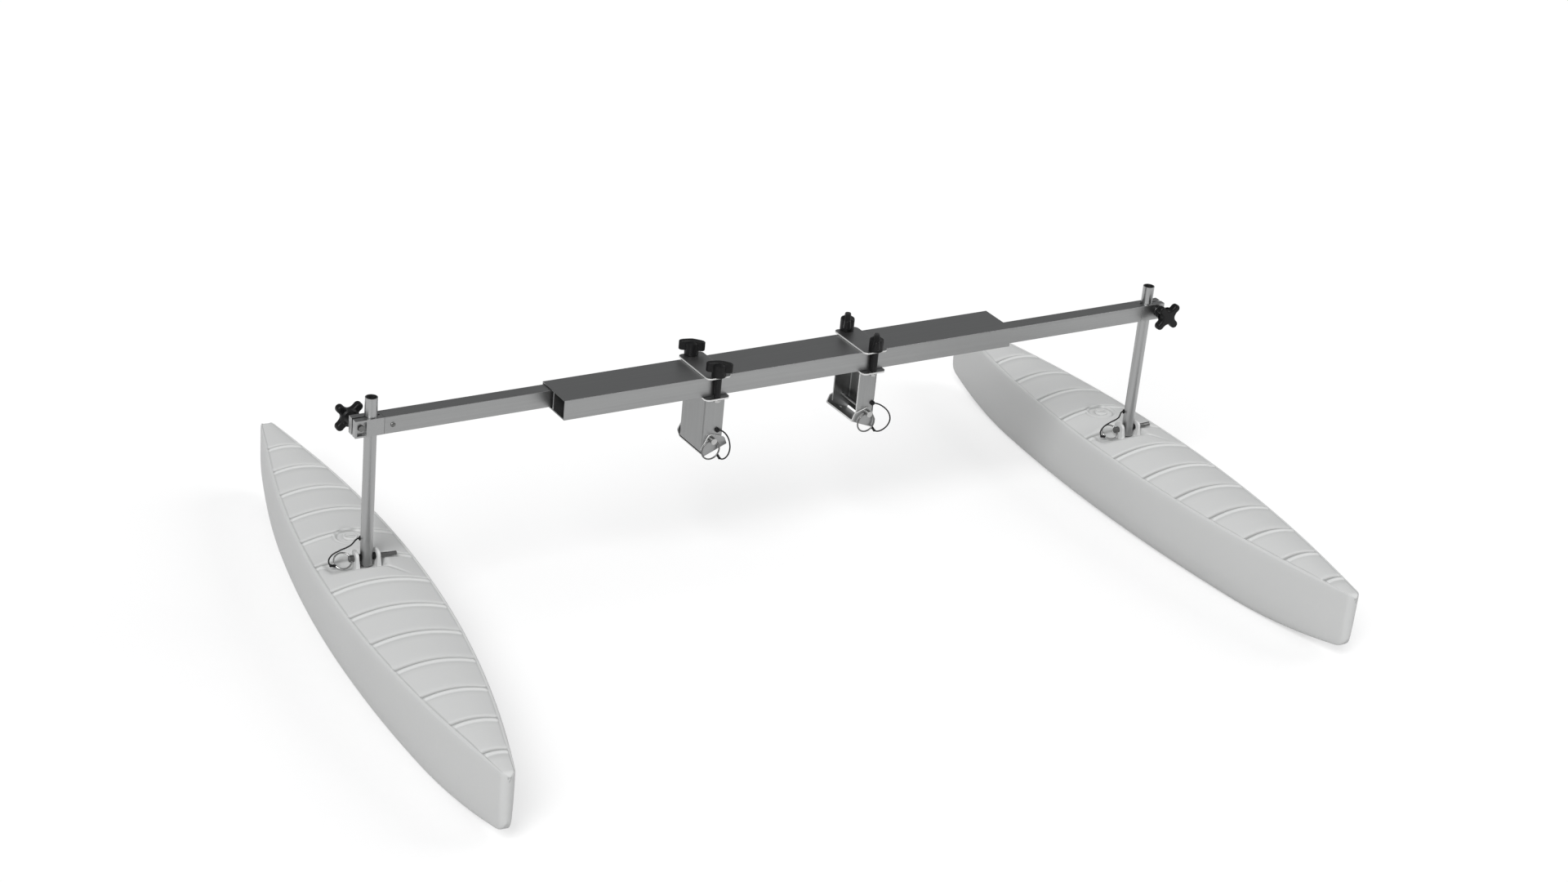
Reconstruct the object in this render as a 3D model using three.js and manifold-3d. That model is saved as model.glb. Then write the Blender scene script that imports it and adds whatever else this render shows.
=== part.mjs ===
// Kayak outrigger: a telescoping cross beam with a clamped post and a hollow float at each end,
// and two brackets under the beam that are pinned to plates on the deck of the craft.
// Millimetres, +Z up, +X along the beam, +Y towards the stern. The origin lies on the ground
// under the middle of the whole assembly.

import * as THREE from 'three';
import { mergeVertices } from 'three/addons/utils/BufferGeometryUtils.js';
import Module from 'manifold-3d';

const wasm = await Module();
wasm.setup();

// Fits
const FIT_GAP = 0.3; // between faces that seat on or slide along each other
const CUT_OVERRUN = 5; // how far a cut reaches past the face it opens

// Centre tube
const BEAM_LENGTH = 946;
const BEAM_WIDTH = 86.4;
const BEAM_HEIGHT = 38.1;
const BEAM_WALL = 2.4;
const BEAM_WEB = 2.4;

// Arms, which slide in the two channels of the centre tube
const ARM_LENGTH = 800;
const ARM_WIDTH = 28.5;
const ARM_HEIGHT = 31.8;
const ARM_WALL = 2.5;
const ARM_SIDE_PLAY = 3.1; // from the arm to the outer wall of its channel
const GUIDE_LENGTH = 60;
const GUIDE_RECESS = 6; // from the mouth of the tube to the guides

// Post clamps, measured along the beam from the post's axis
const POST_SPACING = 1615.2;
const CLAMP_INBOARD = 19;
const CLAMP_OUTBOARD = 34;
const CLAMP_SLIT_WIDTH = 4;
const CLAMP_SLIT_INBOARD = 16;
const SPIGOT_LENGTH = 36;
const RIVET_INBOARD = 35;
const RIVET_SHANK_RADIUS = 2.4;
const RIVET_SHANK_LENGTH = 11;
const RIVET_HEAD_RADIUS = 4.6;
const RIVET_HEAD_HEIGHT = 2.2;
const BOLT_OUTBOARD = 22;
const BOLT_RADIUS = 3;
const BOLT_HEAD_RADIUS = 6;
const BOLT_HEAD_HEIGHT = 4;
const POCKET_LENGTH = 17;
const POCKET_HEIGHT = 25;
const POCKET_DEPTH = 6;
const WASHER_RADIUS = 9;
const WASHER_THICKNESS = 1.5;

// Star knobs
const STAR_HUB_RADIUS = 12;
const STAR_HUB_LENGTH = 18;
const STAR_THICKNESS = 15;
const STAR_LOBE_CENTRE = 23.5;
const STAR_LOBE_RADIUS = 7.5;
const STAR_VALLEY_RADIUS = 8;
const STAR_BORE_DEPTH = 24;
const STAR_LOBES = 4;
const STAR_BEVEL = 1.2;

// Posts
const POST_RADIUS = 11.1;
const POST_WALL = 2;
const POST_TOP = 51.4; // above the beam's axis
const PIN_DEPTH = 255; // from the beam's axis down to the float pin
const POST_FOOT = 14; // from the float pin down to the end of the post

// Floats
const FLOAT_LENGTH = 1300;
const FLOAT_HALF_BREADTH = 95;
const FLOAT_STEM_HALF_BREADTH = 10;
const FLOAT_PLAN_POWER = 2;
const FLOAT_DEPTH = 139; // from the deck's edge down to the keel
const FLOAT_CROWN = 17.5; // how far the middle of the deck stands above its edge
const FLOAT_WALL = 4;
const FLOAT_AHEAD = 53.3; // from the post forward to the middle of the float
const FLOAT_EDGE_DROP = 20.5; // from the float pin down to the deck's edge
const LEFT_FLOAT_TOE = 5.3; // degrees that the left float turns its bow out
const STEM_RISE = 33; // how far the keel rises towards each end
const STEM_RISE_RUN = 280; // length of keel at each end that rises
const STEM_CORNER_RADIUS = 22;
const GROOVE_BOW_GAP = 71; // from the bow to the foremost deck groove
const GROOVE_STERN_GAP = 113; // from the stern to the hindmost one
const GROOVE_COUNT = 13;
const GROOVE_WIDTH = 9;
const GROOVE_DEPTH = 2;

// Ears for the post and the hollow round them in the deck of the float
const EAR_THICKNESS = 5.5;
const EAR_LENGTH = 28;
const EAR_TOP = 13; // above the float pin
const EAR_INSIDE = 16.6; // from the post's axis
const TROUGH_RADIUS = 24; // of the hollow across the deck that the pin and its ring lie in
const TROUGH_LIFT = 6; // from the float pin up to the hollow's axis
const TROUGH_RING_REACH = 74; // from the post's axis to the hollow's end under the ring
const TROUGH_TIP_REACH = 30; // and to its end under the tip of the pin
const SOCKET_WALL = 5;

// Drain plug
const DRAIN_BEHIND = 88; // from the post
const DRAIN_DISH_RADIUS = 25;
const DRAIN_DISH_DEPTH = 4; // below the middle of the deck
const DRAIN_BORE_RADIUS = 9;
const PLUG_RADIUS = 13;
const PLUG_THICKNESS = 4;
const PLUG_STEM_LENGTH = 12;
const PLUG_SLOT_WIDTH = 3;
const PLUG_SLOT_DEPTH = 2;

// Pins, their rings and bushes
const PIN_RADIUS = 4;
const COLLAR_RADIUS = 6;
const COLLAR_LENGTH = 9;
const FLOAT_PIN_TIP = 55; // from the post's axis
const PIN_TIP_CHAMFER = 1.2;
const BUSH_RADIUS = 6.5;
const FLOAT_RING_RADIUS = 15.6;
const DECK_RING_RADIUS = 18;
const RING_WIRE_RADIUS = 1.5;
const FLOAT_RING_DROOP = 8; // degrees that the float pin's ring points down from level
const FLOAT_RING_ROLL = 35; // degrees that it leans towards the bow
const DECK_RING_SWING = 12; // degrees that the deck pin's ring hangs off plumb

// Brackets and their top plates, measured along the beam from the bracket's middle
const BRACKET_SPACING = 332;
const BRACKET_SHIFT = -4; // of both brackets along the beam from its middle
const BRACKET_THICKNESS = 3;
const FLANGE_LENGTH = 50;
const FLANGE_END = 6.5; // from a stud's axis to the end of the flange
const FLANGE_CORNER = 9;
const LEG_INBOARD = 22;
const LEG_OUTBOARD = 17;
const LEG_INSET = 1.2; // from the beam's side in to the outside of each leg
const STUD_RADIUS = 4;
const STUD_HEAD_RADIUS = 7;
const STUD_HEAD_HEIGHT = 5;
const SLEEVE_RADIUS = 6.2;
const SLEEVE_PLAY = 1.1; // from the beam's side to the sleeves

// Wing knobs
const WING_HUB_RADIUS = 13;
const WING_HUB_HEIGHT = 21;
const WING_LIFT = 9; // from the plate up to the underside of the wings
const WING_HEIGHT = 20;
const WING_SPAN = 48;
const WING_THICKNESS = 15;
const WING_BORE_DEPTH = 16;
const WING_BEVEL = 1.5;
const WING_TURNS = { left: -30, right: 57 }; // degrees from the beam

// Deck plates
const DECK_SLOPE = 22; // degrees, falling away from the middle of the craft
const DECK_PIN_DROP = 106; // from the beam's axis
const DECK_PLATE_DROP = 22; // from the deck pin to the plate's upper face
const DECK_PLATE_LENGTH = 50;
const DECK_PLATE_THICKNESS = 3;
const LUG_TOP = 10; // above the deck pin
const LUG_TOP_RADIUS = 10;
const LUG_SHOULDER = 20; // above the plate's lower face at each end of the lug
const LUG_CORNER_RADIUS = 6;
const LEG_FOOT_GAP = 5; // from the legs' feet to the plate
const DECK_PIN_OVERHANG = 8.4; // from the lug out to the tip of the pin
const SCREW_HOLE_RADIUS = 2.6;
const SCREW_HOLE_SPACING = 62;

// Lanyards, as points by hand in millimetres from the middle of the pin that each one holds, but those of
// the deck lanyards are measured across the beam from the leg's outer face
const LANYARD_RADIUS = 1.4;
const ANCHOR_RADIUS = 4;
const ANCHOR_HEIGHT = 1.6;
const LOOP_WIDENING = { left: 0.9, right: 1.35 }; // of the deck lanyards' loops at their middles
const DECK_LANYARD_ROUTE = [
  [11, -3.3, 17], [14.5, -3.8, 16.8], [19, -4.6, 15.4], [24, -5.2, 12.2], [29, -6, 7.4],
  [33.4, -6.7, 1.6], [36.8, -7.2, -5], [39, -7.6, -12], [40, -8, -19.2], [39.2, -8.3, -26.2],
  [36.6, -8.6, -32.4], [32.2, -8.8, -37.2], [26.8, -8.9, -39.8], [21, -9, -39.6],
  [16, -9, -36.6], [12.6, -9, -31.8],
];
const FLOAT_LANYARD_ROUTE = [
  [-10.9, 7.2, 34.5], [-15.2, 6, 34.2], [-20.5, 2.2, 33], [-25.6, -2.4, 31.4], [-30.6, -5.6, 29.6],
  [-36.5, -6.5, 27.3], [-42.4, -5.8, 24.8], [-47.6, -5.3, 22.9], [-52.4, -4.8, 20.5],
  [-56.8, -4.4, 18.6], [-60.4, -4, 16.3], [-63.8, -3.7, 13.6], [-66.2, -3.4, 10.4], [-68, -3.2, 7],
  [-68.7, -3.1, 3.3], [-68.5, -3.1, 0.2], [-67.3, -3.2, -2.9], [-64.9, -3.4, -5.4],
  [-62, -3.8, -6.9], [-59.3, -4, -7.4],
];

// Colours and finishes
const FINISHES = {
  aluminium: new THREE.MeshStandardMaterial({ color: 0xa4a6a6, roughness: 0.42, metalness: 0.9 }),
  steel: new THREE.MeshStandardMaterial({ color: 0xb9bbbc, roughness: 0.25, metalness: 1 }),
  blackPlastic: new THREE.MeshStandardMaterial({ color: 0x141414, roughness: 0.55, metalness: 0 }),
  hull: new THREE.MeshStandardMaterial({ color: 0xd3d5d6, roughness: 0.6, metalness: 0 }),
  cable: new THREE.MeshStandardMaterial({ color: 0x17181a, roughness: 0.4, metalness: 0 }),
};

// Facet counts
const FINE_SIDES = 28;
const ROUND_SIDES = 16;
const HEX_SIDES = 6;
const CURVE_STEPS = 4;
const RING_STEPS = 24;
const WIRE_SIDES = 6;
const HOLE_SIDES = 10;

// Places that follow from the sizes above
const CHANNEL_WIDTH = (BEAM_WIDTH - 2 * BEAM_WALL - BEAM_WEB) / 2;
const CHANNEL_HEIGHT = BEAM_HEIGHT - 2 * BEAM_WALL;
const ARM_Y = BEAM_WIDTH / 2 - BEAM_WALL - ARM_SIDE_PLAY - ARM_WIDTH / 2;
const POST_X = POST_SPACING / 2;
const BRACKET_X = BRACKET_SPACING / 2;
const FLANGE_Z = -BEAM_HEIGHT / 2 - FIT_GAP - BRACKET_THICKNESS / 2;
const TOP_PLATE_Z = BEAM_HEIGHT / 2 + FIT_GAP + BRACKET_THICKNESS / 2;
const WING_BASE_Z = TOP_PLATE_Z + BRACKET_THICKNESS / 2 + FIT_GAP;
const LEG_SPREAD = BEAM_WIDTH - 2 * LEG_INSET; // over the outsides of the two legs
const LUG_INSIDE_Y = LEG_SPREAD / 2 + 2 * FIT_GAP;
const LUG_OUTSIDE_Y = LUG_INSIDE_Y + DECK_PLATE_THICKNESS;
const DECK_COLLAR_Y = LUG_OUTSIDE_Y + FIT_GAP;
const DECK_PIN_TIP = LUG_OUTSIDE_Y + DECK_PIN_OVERHANG;
const STUD_SPREAD = BEAM_WIDTH + 2 * (SLEEVE_PLAY + SLEEVE_RADIUS);
const FLANGE_WIDTH = STUD_SPREAD + 2 * FLANGE_END;
const GROOVE_PITCH = (FLOAT_LENGTH - GROOVE_BOW_GAP - GROOVE_STERN_GAP) / (GROOVE_COUNT - 1);
const GROOVE_FIRST = GROOVE_BOW_GAP - FLOAT_LENGTH / 2; // from the middle of the float
const EAR_OUTSIDE = EAR_INSIDE + EAR_THICKNESS;
const FLOAT_COLLAR_X = EAR_OUTSIDE + FIT_GAP;

const Y_AXIS = new THREE.Vector3(0, 1, 0);

// Turns a closed geometry into a solid that can be joined and cut.
function solid(geometry) {
  const bare = geometry.index ? geometry.clone() : geometry;
  bare.deleteAttribute('normal');
  bare.deleteAttribute('uv');
  const merged = mergeVertices(bare, FIT_GAP / 100);
  return new wasm.Manifold(new wasm.Mesh({
    numProp: 3,
    vertProperties: new Float32Array(merged.attributes.position.array),
    triVerts: new Uint32Array(merged.index.array),
  }));
}

// Turns a joined or cut solid back into a geometry.
function geometryOf(body) {
  const mesh = body.getMesh();
  const geometry = new THREE.BufferGeometry();
  geometry.setAttribute('position', new THREE.BufferAttribute(new Float32Array(mesh.vertProperties), 3));
  geometry.setIndex(new THREE.BufferAttribute(new Uint32Array(mesh.triVerts), 1));
  geometry.computeVertexNormals();
  return geometry;
}

function piece(name, body, material) {
  const mesh = new THREE.Mesh(geometryOf(body), material);
  mesh.name = name;
  return mesh;
}

// A box from its lowest to its highest corner.
function block(low, high) {
  const size = new THREE.Vector3().subVectors(high, low);
  const middle = new THREE.Vector3().addVectors(low, high).multiplyScalar(1 / 2);
  return solid(new THREE.BoxGeometry(size.x, size.y, size.z).translate(middle.x, middle.y, middle.z));
}

function v(x, y, z) {
  return new THREE.Vector3(x, y, z);
}

// A round bar between two points.
function bar(radius, from, to, sides = ROUND_SIDES, endRadius = radius) {
  const along = new THREE.Vector3().subVectors(to, from);
  const turn = new THREE.Quaternion().setFromUnitVectors(Y_AXIS, along.clone().normalize());
  const middle = new THREE.Vector3().addVectors(from, to).multiplyScalar(1 / 2);
  const geometry = new THREE.CylinderGeometry(endRadius, radius, along.length(), sides);
  return solid(geometry.applyQuaternion(turn).translate(middle.x, middle.y, middle.z));
}

// A bar with a round hole along it.
function ringBar(radius, holeRadius, from, to, sides = ROUND_SIDES) {
  const along = new THREE.Vector3().subVectors(to, from).setLength(CUT_OVERRUN);
  const hole = bar(holeRadius, from.clone().sub(along), to.clone().add(along), sides);
  return bar(radius, from, to, sides).subtract(hole);
}

// An outline in X and Z, raised along Y from a start to an end.
function raisedAlongY(shape, startY, endY) {
  const options = { depth: endY - startY, bevelEnabled: false, curveSegments: CURVE_STEPS };
  const geometry = new THREE.ExtrudeGeometry(shape, options);
  return solid(geometry.rotateX(Math.PI / 2).translate(0, endY, 0));
}

// An outline in X and Y, raised along Z between two heights, with its edges broken.
function raisedAlongZ(shape, startZ, endZ, bevel = 0) {
  const geometry = new THREE.ExtrudeGeometry(shape, {
    depth: endZ - startZ - 2 * bevel,
    bevelEnabled: bevel > 0,
    bevelThickness: bevel,
    bevelSize: bevel,
    bevelOffset: -bevel,
    bevelSegments: 1,
    curveSegments: CURVE_STEPS,
  });
  return solid(geometry.translate(0, 0, startZ + bevel));
}

function roundedRectangle(length, width, corner) {
  const shape = new THREE.Shape();
  const x = length / 2 - corner;
  const y = width / 2 - corner;
  shape.absarc(x, y, corner, 0, Math.PI / 2);
  shape.absarc(-x, y, corner, Math.PI / 2, Math.PI);
  shape.absarc(-x, -y, corner, Math.PI, 3 * Math.PI / 2);
  shape.absarc(x, -y, corner, 3 * Math.PI / 2, 2 * Math.PI);
  return shape;
}

// A pull ring: its wire crosses the pin at hold, and the ring lies in the plane of outward and across.
function pullRing(name, ring) {
  const { radius, hold, outward, across } = ring;
  const normal = new THREE.Vector3().crossVectors(outward, across);
  const middle = hold.clone().addScaledVector(outward, radius);
  const basis = new THREE.Matrix4().makeBasis(outward, across, normal);
  const geometry = new THREE.TorusGeometry(radius, RING_WIRE_RADIUS, WIRE_SIDES, RING_STEPS);
  geometry.applyMatrix4(basis).translate(middle.x, middle.y, middle.z);
  return piece(name, solid(geometry), FINISHES.steel);
}

// A coated cable along points given from a pin.
function lanyard(name, route) {
  const points = route.map(([x, y, z]) => v(x, y, z));
  const outline = new THREE.Shape();
  outline.absarc(0, 0, LANYARD_RADIUS, 0, 2 * Math.PI);
  const geometry = new THREE.ExtrudeGeometry(outline, {
    extrudePath: new THREE.CatmullRomCurve3(points),
    steps: points.length - 1,
    curveSegments: CURVE_STEPS,
    bevelEnabled: false,
  });
  return piece(name, solid(geometry), FINISHES.cable);
}

// A straight pin with a broken tip and a collar that holds a pull ring.
function pin(name, ends, ring) {
  const { start, tip, collarEnd } = ends;
  const direction = new THREE.Vector3().subVectors(tip, start).normalize();
  const shoulder = tip.clone().addScaledVector(direction, -PIN_TIP_CHAMFER);
  // The wire bends away inside the collar, so its hole is wider than the wire and a little further out.
  const bend = ring.radius - Math.sqrt(ring.radius ** 2 - COLLAR_RADIUS ** 2);
  const middle = ring.hold.clone().addScaledVector(ring.outward, bend / 2);
  const reach = ring.across.clone().multiplyScalar(COLLAR_RADIUS + CUT_OVERRUN);
  const holeRadius = RING_WIRE_RADIUS + bend / 2 + 2 * FIT_GAP;
  const body = bar(PIN_RADIUS, ring.hold, shoulder)
    .add(bar(PIN_RADIUS, shoulder, tip, ROUND_SIDES, PIN_RADIUS - PIN_TIP_CHAMFER))
    .add(bar(COLLAR_RADIUS, collarEnd, start))
    .subtract(bar(holeRadius, middle.clone().sub(reach), middle.clone().add(reach), HOLE_SIDES));
  return piece(name, body, FINISHES.steel);
}

function centreTube() {
  const half = v(BEAM_LENGTH / 2, BEAM_WIDTH / 2, BEAM_HEIGHT / 2);
  let body = block(half.clone().negate(), half);
  for (const side of [-1, 1]) {
    const inner = side * BEAM_WEB / 2;
    const outer = side * (BEAM_WEB / 2 + CHANNEL_WIDTH);
    body = body.subtract(block(
      v(-half.x - CUT_OVERRUN, Math.min(inner, outer), -CHANNEL_HEIGHT / 2),
      v(half.x + CUT_OVERRUN, Math.max(inner, outer), CHANNEL_HEIGHT / 2),
    ));
  }
  return piece('center_tube', body, FINISHES.aluminium);
}

// The guides of the arm that leaves to +X through the front channel.
function armGuides(side) {
  const outerX = BEAM_LENGTH / 2 - GUIDE_RECESS;
  const innerX = outerX - GUIDE_LENGTH;
  const halfHeight = CHANNEL_HEIGHT / 2 - FIT_GAP;
  const webFace = -BEAM_WEB / 2 - FIT_GAP;
  const wallFace = -BEAM_WIDTH / 2 + BEAM_WALL + FIT_GAP;
  const armInner = -ARM_Y + ARM_WIDTH / 2 + FIT_GAP;
  const armOuter = -ARM_Y - ARM_WIDTH / 2 - FIT_GAP;
  const guide = block(v(innerX, armInner, -halfHeight), v(outerX, webFace, halfHeight));
  const liner = block(v(innerX, wallFace, -halfHeight), v(outerX, armOuter, halfHeight));
  return [
    piece(`${side}_arm_guide`, guide, FINISHES.blackPlastic),
    piece(`${side}_arm_liner`, liner, FINISHES.blackPlastic),
  ];
}

// From here to starKnob, X is measured outboard from the post's axis and Y from the arm's middle.
function armTube(side) {
  const outerX = -CLAMP_INBOARD - FIT_GAP;
  const innerX = outerX - ARM_LENGTH;
  const outside = block(
    v(innerX, -ARM_WIDTH / 2, -ARM_HEIGHT / 2),
    v(outerX, ARM_WIDTH / 2, ARM_HEIGHT / 2),
  );
  const inside = block(
    v(innerX - CUT_OVERRUN, ARM_WALL - ARM_WIDTH / 2, ARM_WALL - ARM_HEIGHT / 2),
    v(outerX + CUT_OVERRUN, ARM_WIDTH / 2 - ARM_WALL, ARM_HEIGHT / 2 - ARM_WALL),
  );
  const hole = bar(RIVET_SHANK_RADIUS + FIT_GAP, v(-RIVET_INBOARD, 0, 0), v(-RIVET_INBOARD, ARM_WIDTH, 0));
  return piece(`${side}_arm_tube`, outside.subtract(inside).subtract(hole), FINISHES.aluminium);
}

function postClamp(side) {
  const halfWidth = ARM_WIDTH / 2;
  const halfHeight = ARM_HEIGHT / 2;
  const spigotY = halfWidth - ARM_WALL - FIT_GAP;
  const spigotZ = halfHeight - ARM_WALL - FIT_GAP;
  const reachZ = halfHeight + CUT_OVERRUN;
  const postBore = POST_RADIUS + FIT_GAP;
  const body = block(v(-CLAMP_INBOARD, -halfWidth, -halfHeight), v(CLAMP_OUTBOARD, halfWidth, halfHeight))
    .add(block(v(-CLAMP_INBOARD - SPIGOT_LENGTH, -spigotY, -spigotZ), v(0, spigotY, spigotZ)))
    .subtract(bar(postBore, v(0, 0, -reachZ), v(0, 0, reachZ), FINE_SIDES))
    .subtract(block(
      v(-CLAMP_SLIT_INBOARD, -CLAMP_SLIT_WIDTH / 2, -reachZ),
      v(CLAMP_OUTBOARD + CUT_OVERRUN, CLAMP_SLIT_WIDTH / 2, reachZ),
    ))
    .subtract(bar(BOLT_RADIUS + FIT_GAP, v(BOLT_OUTBOARD, -ARM_WIDTH, 0), v(BOLT_OUTBOARD, ARM_WIDTH, 0)))
    .subtract(block(
      v(BOLT_OUTBOARD - POCKET_LENGTH / 2, halfWidth - POCKET_DEPTH, -POCKET_HEIGHT / 2),
      v(BOLT_OUTBOARD + POCKET_LENGTH / 2, halfWidth + CUT_OVERRUN, POCKET_HEIGHT / 2),
    ))
    .subtract(bar(
      RIVET_SHANK_RADIUS + FIT_GAP,
      v(-RIVET_INBOARD, halfWidth - RIVET_SHANK_LENGTH - FIT_GAP, 0),
      v(-RIVET_INBOARD, ARM_WIDTH, 0),
    ));
  return piece(`${side}_post_clamp`, body, FINISHES.aluminium);
}

function rivet(side) {
  const face = ARM_WIDTH / 2 + FIT_GAP;
  const foot = v(-RIVET_INBOARD, ARM_WIDTH / 2 - RIVET_SHANK_LENGTH, 0);
  const seat = v(-RIVET_INBOARD, face, 0);
  const top = v(-RIVET_INBOARD, face + RIVET_HEAD_HEIGHT, 0);
  const body = bar(RIVET_SHANK_RADIUS, foot, top)
    .add(bar(RIVET_HEAD_RADIUS, seat, top, ROUND_SIDES, RIVET_HEAD_RADIUS / 2));
  return piece(`${side}_rivet`, body, FINISHES.steel);
}

function clampBolt(side) {
  const seatY = ARM_WIDTH / 2 - POCKET_DEPTH + FIT_GAP;
  const knobStart = -ARM_WIDTH / 2 - WASHER_THICKNESS - 2 * FIT_GAP;
  const tipY = knobStart - STAR_BORE_DEPTH + FIT_GAP;
  const head = bar(
    BOLT_HEAD_RADIUS,
    v(BOLT_OUTBOARD, seatY, 0),
    v(BOLT_OUTBOARD, seatY + BOLT_HEAD_HEIGHT, 0),
    HEX_SIDES,
  );
  const shankEnd = v(BOLT_OUTBOARD, seatY + BOLT_HEAD_HEIGHT / 2, 0);
  const shank = bar(BOLT_RADIUS, v(BOLT_OUTBOARD, tipY, 0), shankEnd);
  return piece(`${side}_clamp_bolt`, head.add(shank), FINISHES.steel);
}

function clampWasher(side) {
  const near = -ARM_WIDTH / 2 - FIT_GAP;
  const body = ringBar(
    WASHER_RADIUS,
    BOLT_RADIUS + FIT_GAP,
    v(BOLT_OUTBOARD, near, 0),
    v(BOLT_OUTBOARD, near - WASHER_THICKNESS, 0),
  );
  return piece(`${side}_clamp_washer`, body, FINISHES.steel);
}

// A star with round lobes on the diagonals and hollow curves between them.
function starOutline() {
  const shape = new THREE.Shape();
  const step = 2 * Math.PI / STAR_LOBES;
  for (let lobe = 0; lobe < STAR_LOBES; lobe += 1) {
    const angle = (lobe + 1 / 2) * step;
    const x = STAR_LOBE_CENTRE * Math.cos(angle);
    const y = STAR_LOBE_CENTRE * Math.sin(angle);
    const start = angle - Math.PI / 2;
    const end = angle + Math.PI / 2;
    const next = angle + step;
    shape.absarc(x, y, STAR_LOBE_RADIUS, start, end);
    shape.quadraticCurveTo(
      STAR_VALLEY_RADIUS * Math.cos(angle + step / 2),
      STAR_VALLEY_RADIUS * Math.sin(angle + step / 2),
      STAR_LOBE_CENTRE * Math.cos(next) + STAR_LOBE_RADIUS * Math.cos(next - Math.PI / 2),
      STAR_LOBE_CENTRE * Math.sin(next) + STAR_LOBE_RADIUS * Math.sin(next - Math.PI / 2),
    );
  }
  return shape;
}

function starKnob(side) {
  const baseY = -ARM_WIDTH / 2 - WASHER_THICKNESS - 2 * FIT_GAP;
  const headY = baseY - STAR_HUB_LENGTH;
  const hub = bar(STAR_HUB_RADIUS, v(0, 0, 0), v(0, 0, STAR_HUB_LENGTH + STAR_BEVEL), ROUND_SIDES);
  const head = raisedAlongZ(starOutline(), STAR_HUB_LENGTH, STAR_HUB_LENGTH + STAR_THICKNESS, STAR_BEVEL);
  const bore = bar(BOLT_RADIUS + FIT_GAP, v(0, 0, -CUT_OVERRUN), v(0, 0, STAR_BORE_DEPTH));
  const mesh = piece(`${side}_star_knob`, hub.add(head).subtract(bore), FINISHES.blackPlastic);
  mesh.geometry.rotateX(Math.PI / 2);
  mesh.geometry.translate(BOLT_OUTBOARD, headY + STAR_HUB_LENGTH, 0);
  return mesh;
}

// An arm with its clamp, in the front channel; the left one is this turned half round.
function armUnit(side) {
  const unit = new THREE.Group();
  const outboard = new THREE.Group();
  outboard.position.set(POST_X, -ARM_Y, 0);
  outboard.add(armTube(side), postClamp(side), rivet(side));
  outboard.add(clampBolt(side), clampWasher(side), starKnob(side));
  unit.add(outboard, ...armGuides(side));
  if (side === 'left') unit.rotation.z = Math.PI;
  return unit;
}

// Half breadth of the hull at a distance from its middle.
function hullBreadth(y) {
  const along = Math.min(1, Math.abs(y) / (FLOAT_LENGTH / 2));
  const fullness = 1 - along ** FLOAT_PLAN_POWER;
  return FLOAT_STEM_HALF_BREADTH + (FLOAT_HALF_BREADTH - FLOAT_STEM_HALF_BREADTH) * fullness;
}

// How far the keel stands above its lowest line at a distance from the middle.
function keelRise(y) {
  const toEnd = FLOAT_LENGTH / 2 - Math.abs(y);
  const sweep = Math.max(0, 1 - toEnd / STEM_RISE_RUN) ** 2;
  const corner = Math.max(0, STEM_CORNER_RADIUS - toEnd);
  const round = STEM_CORNER_RADIUS - Math.sqrt(STEM_CORNER_RADIUS ** 2 - corner ** 2);
  return STEM_RISE * sweep + round;
}

// One side of the hull from the keel to the deck's edge: share of the half breadth, share of the depth.
const SIDE_SHARES = [[0.47, 0], [0.72, 0.035], [0.86, 0.15], [0.95, 0.36], [1, 0.85], [0.985, 1]];
// Places across one half of the deck, as shares of the half breadth.
const DECK_SHARES = [0.8, 0.52, 0.25];

// A closed ring of points round the hull at a distance from its middle, drawn in by a wall.
function hullSection(y, wall, grooveShare) {
  const breadth = hullBreadth(y) - wall;
  const keel = -FLOAT_DEPTH + keelRise(y) + wall;
  const edge = -wall;
  const crown = FLOAT_CROWN * hullBreadth(y) / FLOAT_HALF_BREADTH;
  const half = SIDE_SHARES.map(([across, up]) => [across * breadth, keel + up * (edge - keel)]);
  for (const across of DECK_SHARES) {
    const height = edge + crown * (1 - across ** 2) - GROOVE_DEPTH * grooveShare;
    half.push([across * breadth, height]);
  }
  const top = edge + crown - GROOVE_DEPTH * grooveShare;
  const right = half.map(([x, z]) => v(x, y, z));
  const left = half.map(([x, z]) => v(-x, y, z)).reverse();
  return [...right, v(0, y, top), ...left];
}

// A closed skin through rings of points, each with a flat end.
function loft(rings) {
  const count = rings[0].length;
  const positions = rings.flat().flatMap((point) => [point.x, point.y, point.z]);
  const faces = [];
  for (let ring = 0; ring + 1 < rings.length; ring += 1) {
    for (let side = 0; side < count; side += 1) {
      const next = (side + 1) % count;
      const a = ring * count + side;
      const b = ring * count + next;
      faces.push(a, a + count, b + count, a, b + count, b);
    }
  }
  const middle = count / 2;
  const last = (rings.length - 1) * count;
  for (let side = 0; side + 1 < middle; side += 1) {
    const mirror = count - 1 - side;
    faces.push(side, side + 1, mirror, side + 1, mirror - 1, mirror);
    faces.push(last + side, last + mirror, last + side + 1);
    faces.push(last + side + 1, last + mirror, last + mirror - 1);
  }
  const geometry = new THREE.BufferGeometry();
  geometry.setAttribute('position', new THREE.Float32BufferAttribute(positions, 3));
  geometry.setIndex(faces);
  return solid(geometry);
}

// Stations round the corner of each stem, as shares of the corner's radius.
const CORNER_SHARES = [0, 0.1, 0.35, 1];

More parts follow.
